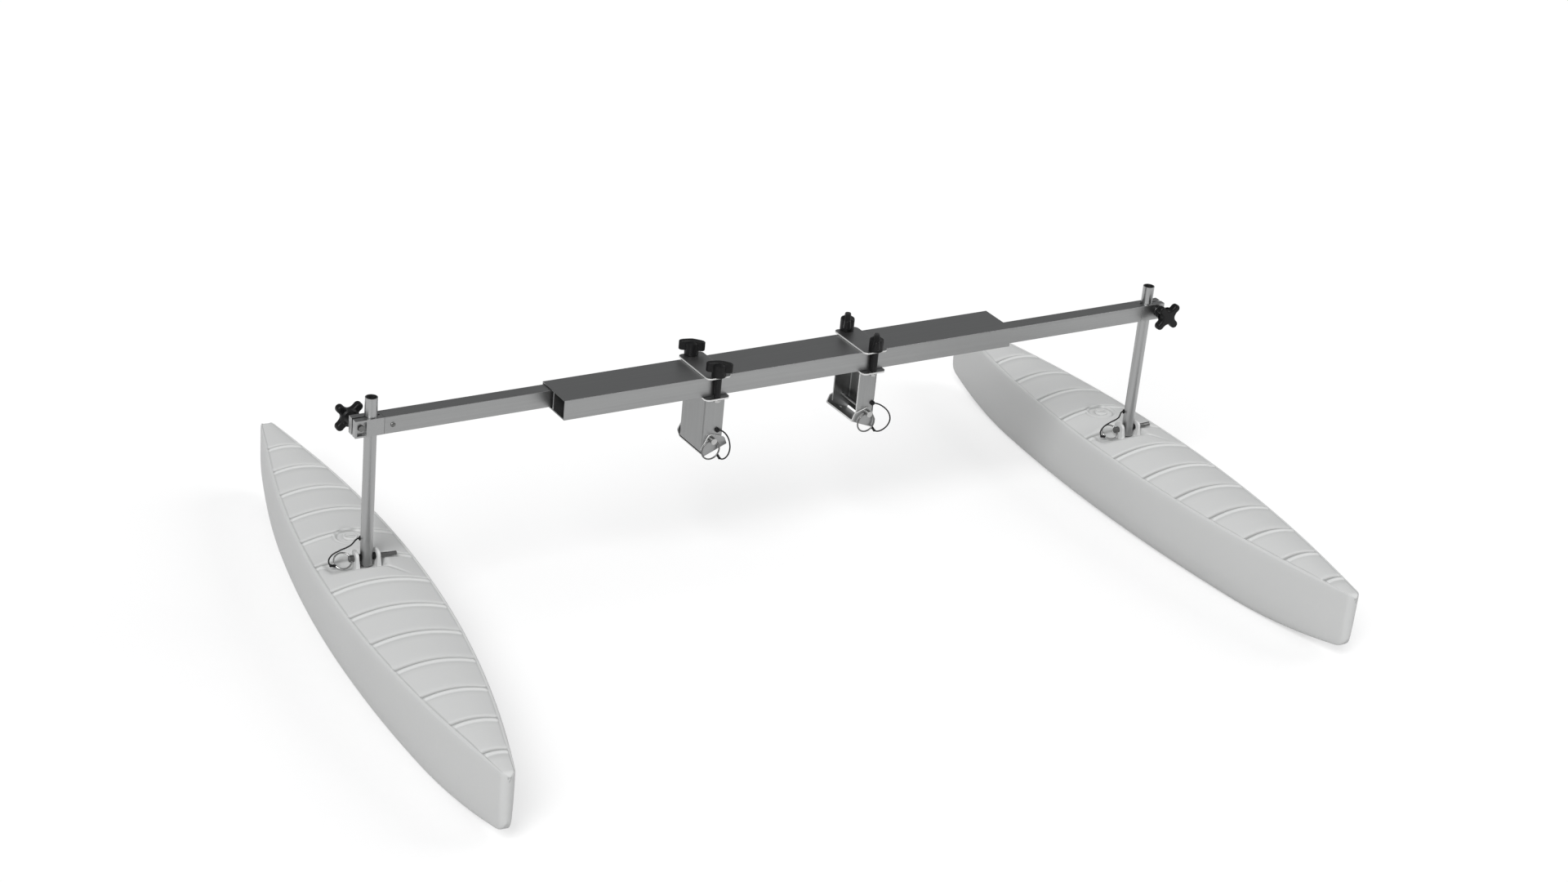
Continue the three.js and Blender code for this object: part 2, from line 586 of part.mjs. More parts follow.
// Stations along the outside of the hull, each with how much of a groove's depth it has.
function outsideStations() {
  const end = FLOAT_LENGTH / 2;
  const stations = [];
  for (const share of CORNER_SHARES) {
    stations.push([end - STEM_CORNER_RADIUS * share, 0], [STEM_CORNER_RADIUS * share - end, 0]);
  }
  for (let groove = 0; groove < GROOVE_COUNT; groove += 1) {
    const y = GROOVE_FIRST + groove * GROOVE_PITCH;
    stations.push([y - GROOVE_WIDTH / 2, 0], [y, 1], [y + GROOVE_WIDTH / 2, 0]);
  }
  return stations.sort((one, other) => one[0] - other[0]);
}

const INSIDE_STATION_SHARES = [-1, -0.85, -0.6, -0.3, 0, 0.3, 0.6, 0.85, 1];

function insideSections() {
  const end = FLOAT_LENGTH / 2 - STEM_CORNER_RADIUS;
  return INSIDE_STATION_SHARES.map((share) => hullSection(end * share, FLOAT_WALL, 0));
}

// The outline of an ear from the side, in Y and Z from the float pin, with a round top.
function earOutline(foot) {
  const shape = new THREE.Shape();
  const corner = EAR_LENGTH / 2 - FLOAT_WALL;
  shape.moveTo(-EAR_LENGTH / 2, -foot);
  shape.lineTo(EAR_LENGTH / 2, -foot);
  shape.absarc(EAR_LENGTH / 2 - corner, EAR_TOP - corner, corner, 0, Math.PI / 2);
  shape.absarc(corner - EAR_LENGTH / 2, EAR_TOP - corner, corner, Math.PI / 2, Math.PI);
  return shape;
}

// The float, measured from the middle of its pin.
function float(side) {
  const seat = v(0, -FLOAT_AHEAD, -FLOAT_EDGE_DROP);
  const place = (body) => body.translate([seat.x, seat.y, seat.z]);
  const outside = place(loft(outsideStations().map(([y, groove]) => hullSection(y, 0, groove))));
  const inside = place(loft(insideSections()));
  const trough = bar(
    TROUGH_RADIUS,
    v(-TROUGH_RING_REACH, 0, TROUGH_LIFT),
    v(TROUGH_TIP_REACH, 0, TROUGH_LIFT),
    FINE_SIDES,
  );
  const troughFloor = TROUGH_LIFT - TROUGH_RADIUS;
  const socket = block(
    v(-TROUGH_RING_REACH - SOCKET_WALL, -TROUGH_RADIUS - SOCKET_WALL, troughFloor - SOCKET_WALL),
    v(TROUGH_TIP_REACH + SOCKET_WALL, TROUGH_RADIUS + SOCKET_WALL, 0),
  ).intersect(outside);
  const deckTop = FLOAT_CROWN - FLOAT_EDGE_DROP;
  const dishFloor = deckTop - DRAIN_DISH_DEPTH;
  const boss = bar(
    DRAIN_DISH_RADIUS + SOCKET_WALL,
    v(0, DRAIN_BEHIND, dishFloor - SOCKET_WALL),
    v(0, DRAIN_BEHIND, deckTop),
    FINE_SIDES,
  ).intersect(outside);
  let body = outside.subtract(inside).add(socket).add(boss)
    .subtract(trough)
    .subtract(bar(
      DRAIN_DISH_RADIUS,
      v(0, DRAIN_BEHIND, dishFloor),
      v(0, DRAIN_BEHIND, deckTop + CUT_OVERRUN),
      FINE_SIDES,
      DRAIN_DISH_RADIUS + CUT_OVERRUN,
    ))
    .subtract(bar(
      DRAIN_BORE_RADIUS,
      v(0, DRAIN_BEHIND, dishFloor - SOCKET_WALL - CUT_OVERRUN),
      v(0, DRAIN_BEHIND, deckTop),
    ));
  for (const way of [-1, 1]) {
    const middle = way * (EAR_INSIDE + EAR_THICKNESS / 2);
    const geometry = new THREE.ExtrudeGeometry(earOutline(SOCKET_WALL / 2 - troughFloor), {
      depth: EAR_THICKNESS,
      bevelEnabled: false,
      curveSegments: CURVE_STEPS,
    });
    geometry.rotateX(Math.PI / 2).rotateZ(Math.PI / 2).translate(middle - EAR_THICKNESS / 2, 0, 0);
    body = body.add(solid(geometry));
  }
  body = body.subtract(bar(PIN_RADIUS + FIT_GAP, v(-TROUGH_RING_REACH, 0, 0), v(TROUGH_TIP_REACH, 0, 0)));
  return piece(`${side}_float`, body, FINISHES.hull);
}

function drainPlug(side) {
  const seatZ = FLOAT_CROWN - FLOAT_EDGE_DROP - DRAIN_DISH_DEPTH + FIT_GAP;
  const topZ = seatZ + PLUG_THICKNESS;
  const stemEnd = v(0, DRAIN_BEHIND, seatZ - PLUG_STEM_LENGTH);
  const top = v(0, DRAIN_BEHIND, topZ);
  const body = bar(PLUG_RADIUS, v(0, DRAIN_BEHIND, seatZ), top, FINE_SIDES)
    .add(bar(DRAIN_BORE_RADIUS - FIT_GAP, stemEnd, top))
    .subtract(block(
      v(-PLUG_RADIUS, DRAIN_BEHIND - PLUG_SLOT_WIDTH / 2, topZ - PLUG_SLOT_DEPTH),
      v(PLUG_RADIUS, DRAIN_BEHIND + PLUG_SLOT_WIDTH / 2, topZ + CUT_OVERRUN),
    ));
  return piece(`${side}_drain_plug`, body, FINISHES.hull);
}

function post(side) {
  const bottom = -POST_FOOT;
  const top = PIN_DEPTH + POST_TOP;
  const reach = v(POST_RADIUS + CUT_OVERRUN, 0, 0);
  const body = ringBar(POST_RADIUS, POST_RADIUS - POST_WALL, v(0, 0, bottom), v(0, 0, top), FINE_SIDES)
    .subtract(bar(PIN_RADIUS + FIT_GAP, reach.clone().negate(), reach));
  return piece(`${side}_post`, body, FINISHES.aluminium);
}

function postBush(side, way) {
  const near = POST_RADIUS + FIT_GAP;
  const far = EAR_INSIDE - FIT_GAP;
  const name = `${side}_post_bush_${way < 0 ? 'head' : 'tip'}`;
  const body = ringBar(BUSH_RADIUS, PIN_RADIUS + FIT_GAP, v(way * near, 0, 0), v(way * far, 0, 0));
  return piece(name, body, FINISHES.blackPlastic);
}

function floatPin(side) {
  const droop = THREE.MathUtils.degToRad(FLOAT_RING_DROOP);
  const roll = THREE.MathUtils.degToRad(FLOAT_RING_ROLL);
  const outward = v(-Math.cos(droop), 0, -Math.sin(droop));
  const ring = {
    radius: FLOAT_RING_RADIUS,
    hold: v(-FLOAT_COLLAR_X - COLLAR_LENGTH / 2, 0, 0),
    outward,
    across: Y_AXIS.clone().applyAxisAngle(outward, -roll),
  };
  const ends = {
    start: v(-FLOAT_COLLAR_X, 0, 0),
    tip: v(FLOAT_PIN_TIP, 0, 0),
    collarEnd: v(-FLOAT_COLLAR_X - COLLAR_LENGTH, 0, 0),
  };
  return [
    pin(`${side}_float_pin`, ends, ring),
    pullRing(`${side}_float_pin_ring`, ring),
    lanyard(`${side}_float_lanyard`, FLOAT_LANYARD_ROUTE),
  ];
}

// A post and the float under it, measured from the middle of the float pin.
function floatUnit(side) {
  const unit = new THREE.Group();
  const way = side === 'left' ? -1 : 1;
  unit.position.set(way * POST_X, -way * ARM_Y, -PIN_DEPTH);
  if (side === 'left') unit.rotation.z = -THREE.MathUtils.degToRad(LEFT_FLOAT_TOE);
  unit.add(post(side), float(side), drainPlug(side), ...floatPin(side));
  unit.add(postBush(side, -1), postBush(side, 1));
  return unit;
}

// From here to deckUnit, X is measured outboard from the bracket's middle and Z from the beam's axis.
function studHoles(z) {
  const radius = STUD_RADIUS + FIT_GAP;
  return [-1, 1].map((way) => bar(
    radius,
    v(0, way * STUD_SPREAD / 2, z - CUT_OVERRUN),
    v(0, way * STUD_SPREAD / 2, z + CUT_OVERRUN),
  ));
}

function flangePlate(z) {
  const outline = roundedRectangle(FLANGE_LENGTH, FLANGE_WIDTH, FLANGE_CORNER);
  let body = raisedAlongZ(outline, z - BRACKET_THICKNESS / 2, z + BRACKET_THICKNESS / 2);
  for (const hole of studHoles(z)) body = body.subtract(hole);
  return body;
}

// Height of a line that lies under the deck pin by a drop and falls with the deck, at a place X.
function slopedLine(x, drop) {
  const slope = THREE.MathUtils.degToRad(DECK_SLOPE);
  return -DECK_PIN_DROP - drop / Math.cos(slope) - x * Math.tan(slope);
}

function bracket(side) {
  const footDrop = DECK_PLATE_DROP - LEG_FOOT_GAP;
  const topZ = FLANGE_Z;
  const profile = new THREE.Shape([
    new THREE.Vector2(-LEG_INBOARD, topZ),
    new THREE.Vector2(-LEG_INBOARD, slopedLine(-LEG_INBOARD, footDrop)),
    new THREE.Vector2(LEG_OUTBOARD, slopedLine(LEG_OUTBOARD, footDrop)),
    new THREE.Vector2(LEG_OUTBOARD, topZ),
  ]);
  const insideY = LEG_SPREAD / 2 - BRACKET_THICKNESS;
  const hollow = block(
    v(-LEG_INBOARD - CUT_OVERRUN, -insideY, -DECK_PIN_DROP - LEG_SPREAD),
    v(LEG_OUTBOARD - BRACKET_THICKNESS, insideY, FLANGE_Z + CUT_OVERRUN),
  );
  const reach = LEG_SPREAD / 2 + CUT_OVERRUN;
  const anchor = anchorPlace(side);
  const body = raisedAlongY(profile, -LEG_SPREAD / 2, LEG_SPREAD / 2)
    .subtract(hollow)
    .add(flangePlate(FLANGE_Z))
    .subtract(bar(PIN_RADIUS + FIT_GAP, v(0, -reach, -DECK_PIN_DROP), v(0, reach, -DECK_PIN_DROP)))
    .add(bar(
      ANCHOR_RADIUS,
      v(anchor.x, anchor.y * insideY, anchor.z),
      v(anchor.x, anchor.y * (LEG_SPREAD / 2 + ANCHOR_HEIGHT), anchor.z),
      ROUND_SIDES,
      ANCHOR_RADIUS / 2,
    ));
  return piece(`${side}_deck_bracket`, body, FINISHES.aluminium);
}

// Where the rivet head that holds the lanyard sits: X, the side of the bracket in Y, and Z. It follows the
// lanyard's first point, and the left bracket is turned half round after this.
function anchorPlace(side) {
  const [x, , z] = DECK_LANYARD_ROUTE[0];
  const way = side === 'left' ? 1 : -1;
  return v(-way * x, way, z - DECK_PIN_DROP);
}

function topPlate(side) {
  return piece(`${side}_top_plate`, flangePlate(TOP_PLATE_Z), FINISHES.aluminium);
}

const STUD_ENDS = { front: -1, rear: 1 };

function clampStud(side, end) {
  const y = STUD_ENDS[end] * STUD_SPREAD / 2;
  const seat = FLANGE_Z - BRACKET_THICKNESS / 2 - FIT_GAP;
  const tip = WING_BASE_Z + WING_BORE_DEPTH - FIT_GAP;
  const body = bar(STUD_RADIUS, v(0, y, seat - STUD_HEAD_HEIGHT / 2), v(0, y, tip))
    .add(bar(STUD_HEAD_RADIUS, v(0, y, seat - STUD_HEAD_HEIGHT), v(0, y, seat), HEX_SIDES));
  return piece(`${side}_${end}_stud`, body, FINISHES.steel);
}

function studSleeve(side, end) {
  const y = STUD_ENDS[end] * STUD_SPREAD / 2;
  const low = v(0, y, FLANGE_Z + BRACKET_THICKNESS / 2 + FIT_GAP);
  const high = v(0, y, TOP_PLATE_Z - BRACKET_THICKNESS / 2 - FIT_GAP);
  const body = ringBar(SLEEVE_RADIUS, STUD_RADIUS + FIT_GAP, low, high);
  return piece(`${side}_${end}_sleeve`, body, FINISHES.blackPlastic);
}

// A knob with a round hub and a bar across it.
function wingKnob(side, end) {
  const y = STUD_ENDS[end] * STUD_SPREAD / 2;
  const base = WING_BASE_Z;
  const wing = roundedRectangle(WING_SPAN, WING_THICKNESS, WING_THICKNESS / 2 - WING_BEVEL);
  const body = raisedAlongZ(wing, WING_LIFT, WING_LIFT + WING_HEIGHT, WING_BEVEL)
    .add(bar(WING_HUB_RADIUS, v(0, 0, 0), v(0, 0, WING_HUB_HEIGHT), ROUND_SIDES))
    .subtract(bar(STUD_RADIUS + FIT_GAP, v(0, 0, -CUT_OVERRUN), v(0, 0, WING_BORE_DEPTH)))
    .rotate([0, 0, WING_TURNS[side]])
    .translate([0, y, base]);
  return piece(`${side}_${end}_wing_knob`, body, FINISHES.blackPlastic);
}

// The deck plate, measured from the deck pin before it is tipped to the deck's slope.
function deckPlate(side) {
  const halfLength = DECK_PLATE_LENGTH / 2;
  const top = -DECK_PLATE_DROP;
  const bottom = top - DECK_PLATE_THICKNESS;
  const shoulder = bottom + LUG_SHOULDER;
  const corner = LUG_CORNER_RADIUS;
  const reach = v(0, LUG_OUTSIDE_Y + CUT_OVERRUN, 0);
  const lug = new THREE.Shape();
  lug.moveTo(-halfLength, bottom);
  lug.lineTo(halfLength, bottom);
  lug.absarc(halfLength - corner, shoulder - corner, corner, 0, Math.PI / 3);
  lug.absarc(0, LUG_TOP - LUG_TOP_RADIUS, LUG_TOP_RADIUS, Math.PI / 3, 2 * Math.PI / 3);
  lug.absarc(corner - halfLength, shoulder - corner, corner, 2 * Math.PI / 3, Math.PI);
  let body = block(v(-halfLength, -LUG_OUTSIDE_Y, bottom), v(halfLength, LUG_OUTSIDE_Y, top))
    .add(raisedAlongY(lug, -LUG_OUTSIDE_Y, -LUG_INSIDE_Y))
    .add(raisedAlongY(lug, LUG_INSIDE_Y, LUG_OUTSIDE_Y))
    .subtract(bar(PIN_RADIUS + FIT_GAP, reach.clone().negate(), reach));
  for (const way of [-1, 1]) {
    const y = way * SCREW_HOLE_SPACING / 2;
    body = body.subtract(bar(SCREW_HOLE_RADIUS, v(0, y, bottom - CUT_OVERRUN), v(0, y, top + CUT_OVERRUN)));
  }
  const mesh = piece(`${side}_deck_plate`, body, FINISHES.aluminium);
  mesh.rotation.y = THREE.MathUtils.degToRad(DECK_SLOPE);
  mesh.position.z = -DECK_PIN_DROP;
  return mesh;
}

// A deck lanyard's route from the middle of its pin, with its loop made wider or narrower between its ends.
function deckRoute(share) {
  const [start] = DECK_LANYARD_ROUTE[0];
  return DECK_LANYARD_ROUTE.map(([x, y, z], place) => {
    const middle = Math.sin(Math.PI * place / (DECK_LANYARD_ROUTE.length - 1));
    return [x + (x - start) * (share - 1) * middle, y - LEG_SPREAD / 2, z];
  });
}

// The deck pin with its ring and lanyard, which point the same way on both sides of the beam.
function deckPin(side) {
  const swing = THREE.MathUtils.degToRad(DECK_RING_SWING);
  const ring = {
    radius: DECK_RING_RADIUS,
    hold: v(0, -DECK_COLLAR_Y - COLLAR_LENGTH / 2, 0),
    outward: v(-Math.sin(swing), 0, -Math.cos(swing)),
    across: v(Math.cos(swing), 0, -Math.sin(swing)),
  };
  const ends = {
    start: v(0, -DECK_COLLAR_Y, 0),
    tip: v(0, DECK_PIN_TIP, 0),
    collarEnd: v(0, -DECK_COLLAR_Y - COLLAR_LENGTH, 0),
  };
  const unit = new THREE.Group();
  unit.position.z = -DECK_PIN_DROP;
  unit.add(
    pin(`${side}_deck_pin`, ends, ring),
    pullRing(`${side}_deck_pin_ring`, ring),
    lanyard(`${side}_deck_lanyard`, deckRoute(LOOP_WIDENING[side])),
  );
  return unit;
}

// A bracket with all that it carries. The folded pieces of the left one are this turned half round.
function deckUnit(side) {
  const unit = new THREE.Group();
  const folded = new THREE.Group();
  const left = side === 'left';
  unit.position.x = (left ? -BRACKET_X : BRACKET_X) + BRACKET_SHIFT;
  folded.add(bracket(side), deckPlate(side));
  if (left) folded.rotation.z = Math.PI;
  unit.add(folded, topPlate(side), deckPin(side));
  for (const end of Object.keys(STUD_ENDS)) {
    unit.add(clampStud(side, end), studSleeve(side, end), wingKnob(side, end));
  }
  return unit;
}

const assembly = new THREE.Group();
assembly.add(centreTube());
for (const side of ['left', 'right']) {
  assembly.add(armUnit(side), floatUnit(side), deckUnit(side));
}

// Stands the whole on the ground, under its middle.
assembly.updateMatrixWorld(true);
const bounds = new THREE.Box3().setFromObject(assembly, true);
assembly.position.set(
  -(bounds.min.x + bounds.max.x) / 2,
  -(bounds.min.y + bounds.max.y) / 2,
  -bounds.min.z,
);

const group = new THREE.Group();
group.add(assembly);
group.updateMatrixWorld(true);

export default group;
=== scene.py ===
"""Dresses the kayak outrigger: a telescoping beam with a float at each end and two deck brackets.

Every length is in metres and every angle in radians. Places are measured from the middle of the
centre tube, with +X along the beam to the right, +Y towards the stern and +Z up, and a Layout
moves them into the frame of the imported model.
"""

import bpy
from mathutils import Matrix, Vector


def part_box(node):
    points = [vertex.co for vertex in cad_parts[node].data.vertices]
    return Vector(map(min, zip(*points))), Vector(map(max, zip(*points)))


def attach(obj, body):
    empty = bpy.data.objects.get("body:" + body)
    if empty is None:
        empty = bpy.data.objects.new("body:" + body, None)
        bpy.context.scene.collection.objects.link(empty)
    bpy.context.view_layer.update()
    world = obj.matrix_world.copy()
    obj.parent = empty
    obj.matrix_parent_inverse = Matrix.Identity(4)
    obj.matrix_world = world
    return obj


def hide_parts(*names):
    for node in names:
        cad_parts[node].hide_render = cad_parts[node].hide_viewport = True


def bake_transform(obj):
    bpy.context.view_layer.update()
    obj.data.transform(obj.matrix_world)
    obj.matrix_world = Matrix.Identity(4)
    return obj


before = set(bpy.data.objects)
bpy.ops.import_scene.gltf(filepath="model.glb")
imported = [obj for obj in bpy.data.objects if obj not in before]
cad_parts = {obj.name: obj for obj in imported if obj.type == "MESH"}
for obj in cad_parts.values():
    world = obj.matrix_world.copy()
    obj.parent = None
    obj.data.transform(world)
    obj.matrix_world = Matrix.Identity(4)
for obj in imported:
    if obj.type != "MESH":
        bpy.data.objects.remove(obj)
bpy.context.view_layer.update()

import logging
import math
from dataclasses import dataclass, field
from enum import Enum
from typing import Callable

import bmesh
import bpy
import numpy as np
from mathutils import Matrix, Vector

LOG = logging.getLogger("outrigger")

FIT_GAP = 0.0003  # between faces that seat on each other
MERGE_DISTANCE = 1e-6
FLAT_ANGLE = math.radians(0.8)  # under it, two faces are one
SHARP_ANGLE = math.radians(35)
TURNED_ANGLE = math.radians(50)  # what counts as sharp on a small turned shape
EDGE_MASK = "edge"  # the face attribute of rounded and cut edges
# The grooves in a float's deck carry painted shade by this attribute.
GROOVE_SHADE_MASK = "groove"  # the point attribute of the grooves in a float's deck
FULL_TURN = 2 * math.pi
QUARTER_TURN = math.pi / 2
RIGHTWARD, STERNWARD, UPWARD = Vector((1, 0, 0)), Vector((0, 1, 0)), Vector((0, 0, 1))
MIX_SHARE, MIX_FIRST, MIX_SECOND, MIX_RESULT = 0, 6, 7, 2  # the colour sockets of a Mix node

Point = tuple[float, float, float]
Colour = tuple[float, float, float]
Outline = tuple[tuple[float, float], ...]
Mesh = bmesh.types.BMesh
Edge = bmesh.types.BMEdge
Node = bpy.types.Node
Socket = bpy.types.NodeSocket


class Named(Enum):
    """Options whose names stand in the names of pieces."""

    @property
    def word(self) -> str:
        """The option's name in small letters."""
        return self.name.lower()


class Side(Named):
    """The two ends of the beam, each with the way it lies along X."""

    LEFT = -1
    RIGHT = 1


class End(Named):
    """The two edges of the beam, each with the way it lies along Y."""

    FRONT = -1
    REAR = 1


class Slot(Enum):
    """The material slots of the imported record."""

    ALUMINIUM = "aluminium"
    STEEL = "steel"
    BLACK_PLASTIC = "black_plastic"
    HULL_PLASTIC = "hull_plastic"
    CABLE = "cable"


@dataclass(frozen=True)
class Layout:
    """Where each sub-assembly stands on the beam."""

    arm_offset: float = 0.02345
    post_reach: float = 0.8076
    pin_depth: float = 0.255
    left_toe: float = math.radians(5.3)
    bracket_reach: float = 0.166
    bracket_shift: float = -0.004
    deck_pin_drop: float = 0.106

    def at(self, *place: float) -> Matrix:
        """A place measured from the middle of the centre tube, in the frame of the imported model."""
        low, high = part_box("center_tube")
        return Matrix.Translation((low + high) / 2) @ Matrix.Translation(place)

    def arm(self, side: Side) -> Matrix:
        """The place on an arm's axis under its post, with X outboard."""
        half_turn = Matrix.Rotation(math.pi if side is Side.LEFT else 0, 4, "Z")
        return self.at(0, 0, 0) @ half_turn @ Matrix.Translation((self.post_reach, -self.arm_offset, 0))

    def float_pin(self, side: Side) -> Matrix:
        """The middle of the pin that joins a post and its float, with Y towards the stern."""
        toe = Matrix.Rotation(-self.left_toe if side is Side.LEFT else 0, 4, "Z")
        return self.at(side.value * self.post_reach, -side.value * self.arm_offset, -self.pin_depth) @ toe

    def bracket(self, side: Side) -> Matrix:
        """The middle of a bracket on the beam's axis."""
        return self.at(side.value * self.bracket_reach + self.bracket_shift, 0, 0)

    def deck_pin(self, side: Side) -> Matrix:
        """The middle of the pin that joins a bracket and its deck plate."""
        return self.bracket(side) @ Matrix.Translation((0, 0, -self.deck_pin_drop))


# Node trees


class Nodes:
    """A node tree with short ways to add and join its nodes."""

    def __init__(self, tree: bpy.types.NodeTree) -> None:
        """Keeps the tree of a material or a group."""
        self.tree = tree

    def join(self, socket: Socket, value: object) -> None:
        """Joins an input to an output, or gives it a value.

        Args:
            socket: The input.
            value: An output socket, or the value itself.
        """
        if isinstance(value, Socket):
            self.tree.links.new(value, socket)
        else:
            socket.default_value = value

    def feed(self, node: Node, **inputs: object) -> Node:
        """Feeds a node's inputs.

        Args:
            node: The node.
            **inputs: What each input holds, with _ for a space in its name.

        Returns:
            The same node.
        """
        for name, value in inputs.items():
            self.join(node.inputs[name.replace("_", " ")], value)
        return node

    def add(
        self, kind: str, settings: dict | None = None, given: dict | None = None, **inputs: object
    ) -> Node:
        """Adds a node.

        Args:
            kind: The node's type, after its first word.
            settings: Values of the node's own properties.
            given: What inputs hold, by their numbers.
            **inputs: What inputs hold, by their names.

        Returns:
            The new node.
        """
        node = self.tree.nodes.new(f"ShaderNode{kind}")
        for name, value in (settings or {}).items():
            setattr(node, name, value)
        for number, value in (given or {}).items():
            self.join(node.inputs[number], value)
        return self.feed(node, **inputs)

    def maths(self, operation: str, one: object, other: object) -> Socket:
        """Works out one number from two, each a socket or a plain number."""
        return self.add("Math", {"operation": operation}, {0: one, 1: other}).outputs[0]

    def spread(self, value: object, low: float, high: float, start: float = 0, end: float = 1) -> Socket:
        """Moves a number from its own range, start to end, to low to high, and keeps it there."""
        given = dict(enumerate((value, start, end, low, high)))
        return self.add("MapRange", given=given).outputs["Result"]

    def noise(
        self, vector: Socket, scale: object, detail: float, rough: float = 0.5, bent: float = 0
    ) -> Socket:
        """The strength of a noise, by its scale, detail, roughness and distortion."""
        sizes = {"Scale": scale, "Detail": detail, "Roughness": rough, "Distortion": bent}
        return self.add("TexNoise", Vector=vector, **sizes).outputs["Fac"]

    def mask(self, name: str) -> Socket:
        """A mask that a mesh carries as an attribute."""
        return self.add("Attribute", {"attribute_name": name}).outputs["Fac"]

    def mix(self, one: object, other: object, mask: Socket, strength: object = 1.0) -> Socket:
        """Mixes one colour into another.

        Args:
            one: The colour where the mask is 0, as three numbers or a socket.
            other: The colour where it is 1.
            mask: Where the second colour goes.
            strength: How much of it goes there, as a number or a socket.

        Returns:
            The mixed colour.
        """
        share = mask if strength == 1.0 else self.maths("MULTIPLY", mask, strength)
        given = {MIX_SHARE: share, MIX_FIRST: opaque(one), MIX_SECOND: opaque(other)}
        return self.add("Mix", {"data_type": "RGBA"}, given).outputs[MIX_RESULT]


def opaque(colour: object) -> object:
    """Gives three numbers their fourth, and leaves a socket as it is."""
    return colour if isinstance(colour, Socket) else (*colour, 1.0)


def dimmed(colour: Colour, share: float) -> Colour:
    """A darker shade of a colour."""
    return tuple(value * share for value in colour)


class Effect(Enum):
    """The shared effects, each a node group that is built once."""

    DRAWN_LINES = "drawn_lines"
    MOULDED_GRAIN = "moulded_grain"
    WEATHER = "weather"
    EDGES = "edges"

    def place(self, nodes: Nodes, **inputs: object) -> bpy.types.bpy_prop_collection:
        """Puts the group in a material.

        Args:
            nodes: The material's nodes.
            **inputs: What each of the group's inputs holds.

        Returns:
            The group's outputs.
        """
        tree = bpy.data.node_groups.get(self.value)
        if not tree:
            tree = bpy.data.node_groups.new(self.value, "ShaderNodeTree")
            EFFECT_MAKERS[self](tree)
        return nodes.add("Group", {"node_tree": tree}, **inputs).outputs


def open_group(
    tree: bpy.types.NodeTree, number: str, *results: str
) -> tuple[Nodes, bpy.types.bpy_prop_collection, Node]:
    """Names what goes into a group and what comes out.

    Args:
        tree: The group's empty tree.
        number: The name of the number that it takes beside its Vector, if any.
        *results: The names of the numbers that it puts out.

    Returns:
        Its nodes, what it is given and its output node.
    """
    tree.interface.new_socket(name="Vector", in_out="INPUT", socket_type="NodeSocketVector")
    if number:
        tree.interface.new_socket(name=number, in_out="INPUT", socket_type="NodeSocketFloat")
    for name in results:
        tree.interface.new_socket(name=name, in_out="OUTPUT", socket_type="NodeSocketFloat")
    given = tree.nodes.new("NodeGroupInput").outputs
    return Nodes(tree), given, tree.nodes.new("NodeGroupOutput")


def make_drawn_lines(tree: bpy.types.NodeTree) -> None:
    """Fine lines along one direction, as an extrusion or a rolled sheet has.

    Args:
        tree: The empty group. Its Vector comes in already stretched along the lines.
    """
    nodes, given, out = open_group(tree, "", "Shade", "Height")
    broad = nodes.noise(given["Vector"], 0.35, 3.0, rough=0.6)
    fine = nodes.noise(given["Vector"], 1.6, 5.0, rough=0.7)
    shade = nodes.spread(nodes.maths("ADD", broad, fine), 0, 1, start=0.7, end=1.3)
    nodes.feed(out, Shade=shade, Height=fine)


def make_moulded_grain(tree: bpy.types.NodeTree) -> None:
    """The pebbled skin of moulded plastic.

    Args:
        tree: The empty group. Scale is in grains to the metre.
    """
    nodes, given, out = open_group(tree, "Scale", "Shade", "Height")
    vector, scale = given["Vector"], given["Scale"]
    pebbles = nodes.add("TexVoronoi", {"feature": "SMOOTH_F1"}, Vector=vector, Scale=scale)
    skin = nodes.noise(vector, nodes.maths("MULTIPLY", scale, 0.4), 4.0)
    height = nodes.maths("ADD", nodes.maths("MULTIPLY", pebbles.outputs["Distance"], 0.6), skin)
    nodes.feed(out, Height=height, Shade=nodes.spread(skin, 0, 1, start=0.35, end=0.65))


def make_weather(tree: bpy.types.NodeTree) -> None:
    """Broad clouding from handling and weather, and small dry marks.

    Args:
        tree: The empty group. Size is the clouds' size in metres.
    """
    nodes, given, out = open_group(tree, "Size", "Cloud", "Marks")
    scale = nodes.maths("DIVIDE", 1.0, given["Size"])
    broad = nodes.noise(given["Vector"], scale, 5.0, rough=0.62)
    near = nodes.noise(given["Vector"], nodes.maths("MULTIPLY", scale, 9.0), 6.0, rough=0.75, bent=0.6)
    cloud = nodes.spread(broad, 0, 1, start=0.38, end=0.64)
    nodes.feed(out, Cloud=cloud, Marks=nodes.spread(near, 0, 1, start=0.6, end=0.74))


def make_edges(tree: bpy.types.NodeTree) -> None:
    """Rubbed edges, and painted shade in hollows, on a closely divided mesh, from how it curves.

    Args:
        tree: The empty group. Spread is how far from flat an edge has to be.
    """
    nodes, given, out = open_group(tree, "Spread", "Worn", "Hollow")
    bend = nodes.maths("SUBTRACT", nodes.add("NewGeometry").outputs["Pointiness"], 0.5)
    patches = nodes.spread(nodes.noise(given["Vector"], 160.0, 4.0), 0.25, 1, start=0.4, end=0.6)
    worn = nodes.spread(nodes.maths("DIVIDE", bend, given["Spread"]), 0, 1)
    sunk = nodes.maths("DIVIDE", nodes.maths("MULTIPLY", bend, -1.0), given["Spread"])
    nodes.feed(out, Worn=nodes.maths("MULTIPLY", worn, patches), Hollow=nodes.spread(sunk, 0, 1))


EFFECT_MAKERS: dict[Effect, Callable[[bpy.types.NodeTree], None]] = {
    Effect.DRAWN_LINES: make_drawn_lines,
    Effect.MOULDED_GRAIN: make_moulded_grain,
    Effect.WEATHER: make_weather,
    Effect.EDGES: make_edges,
}


# Finishes


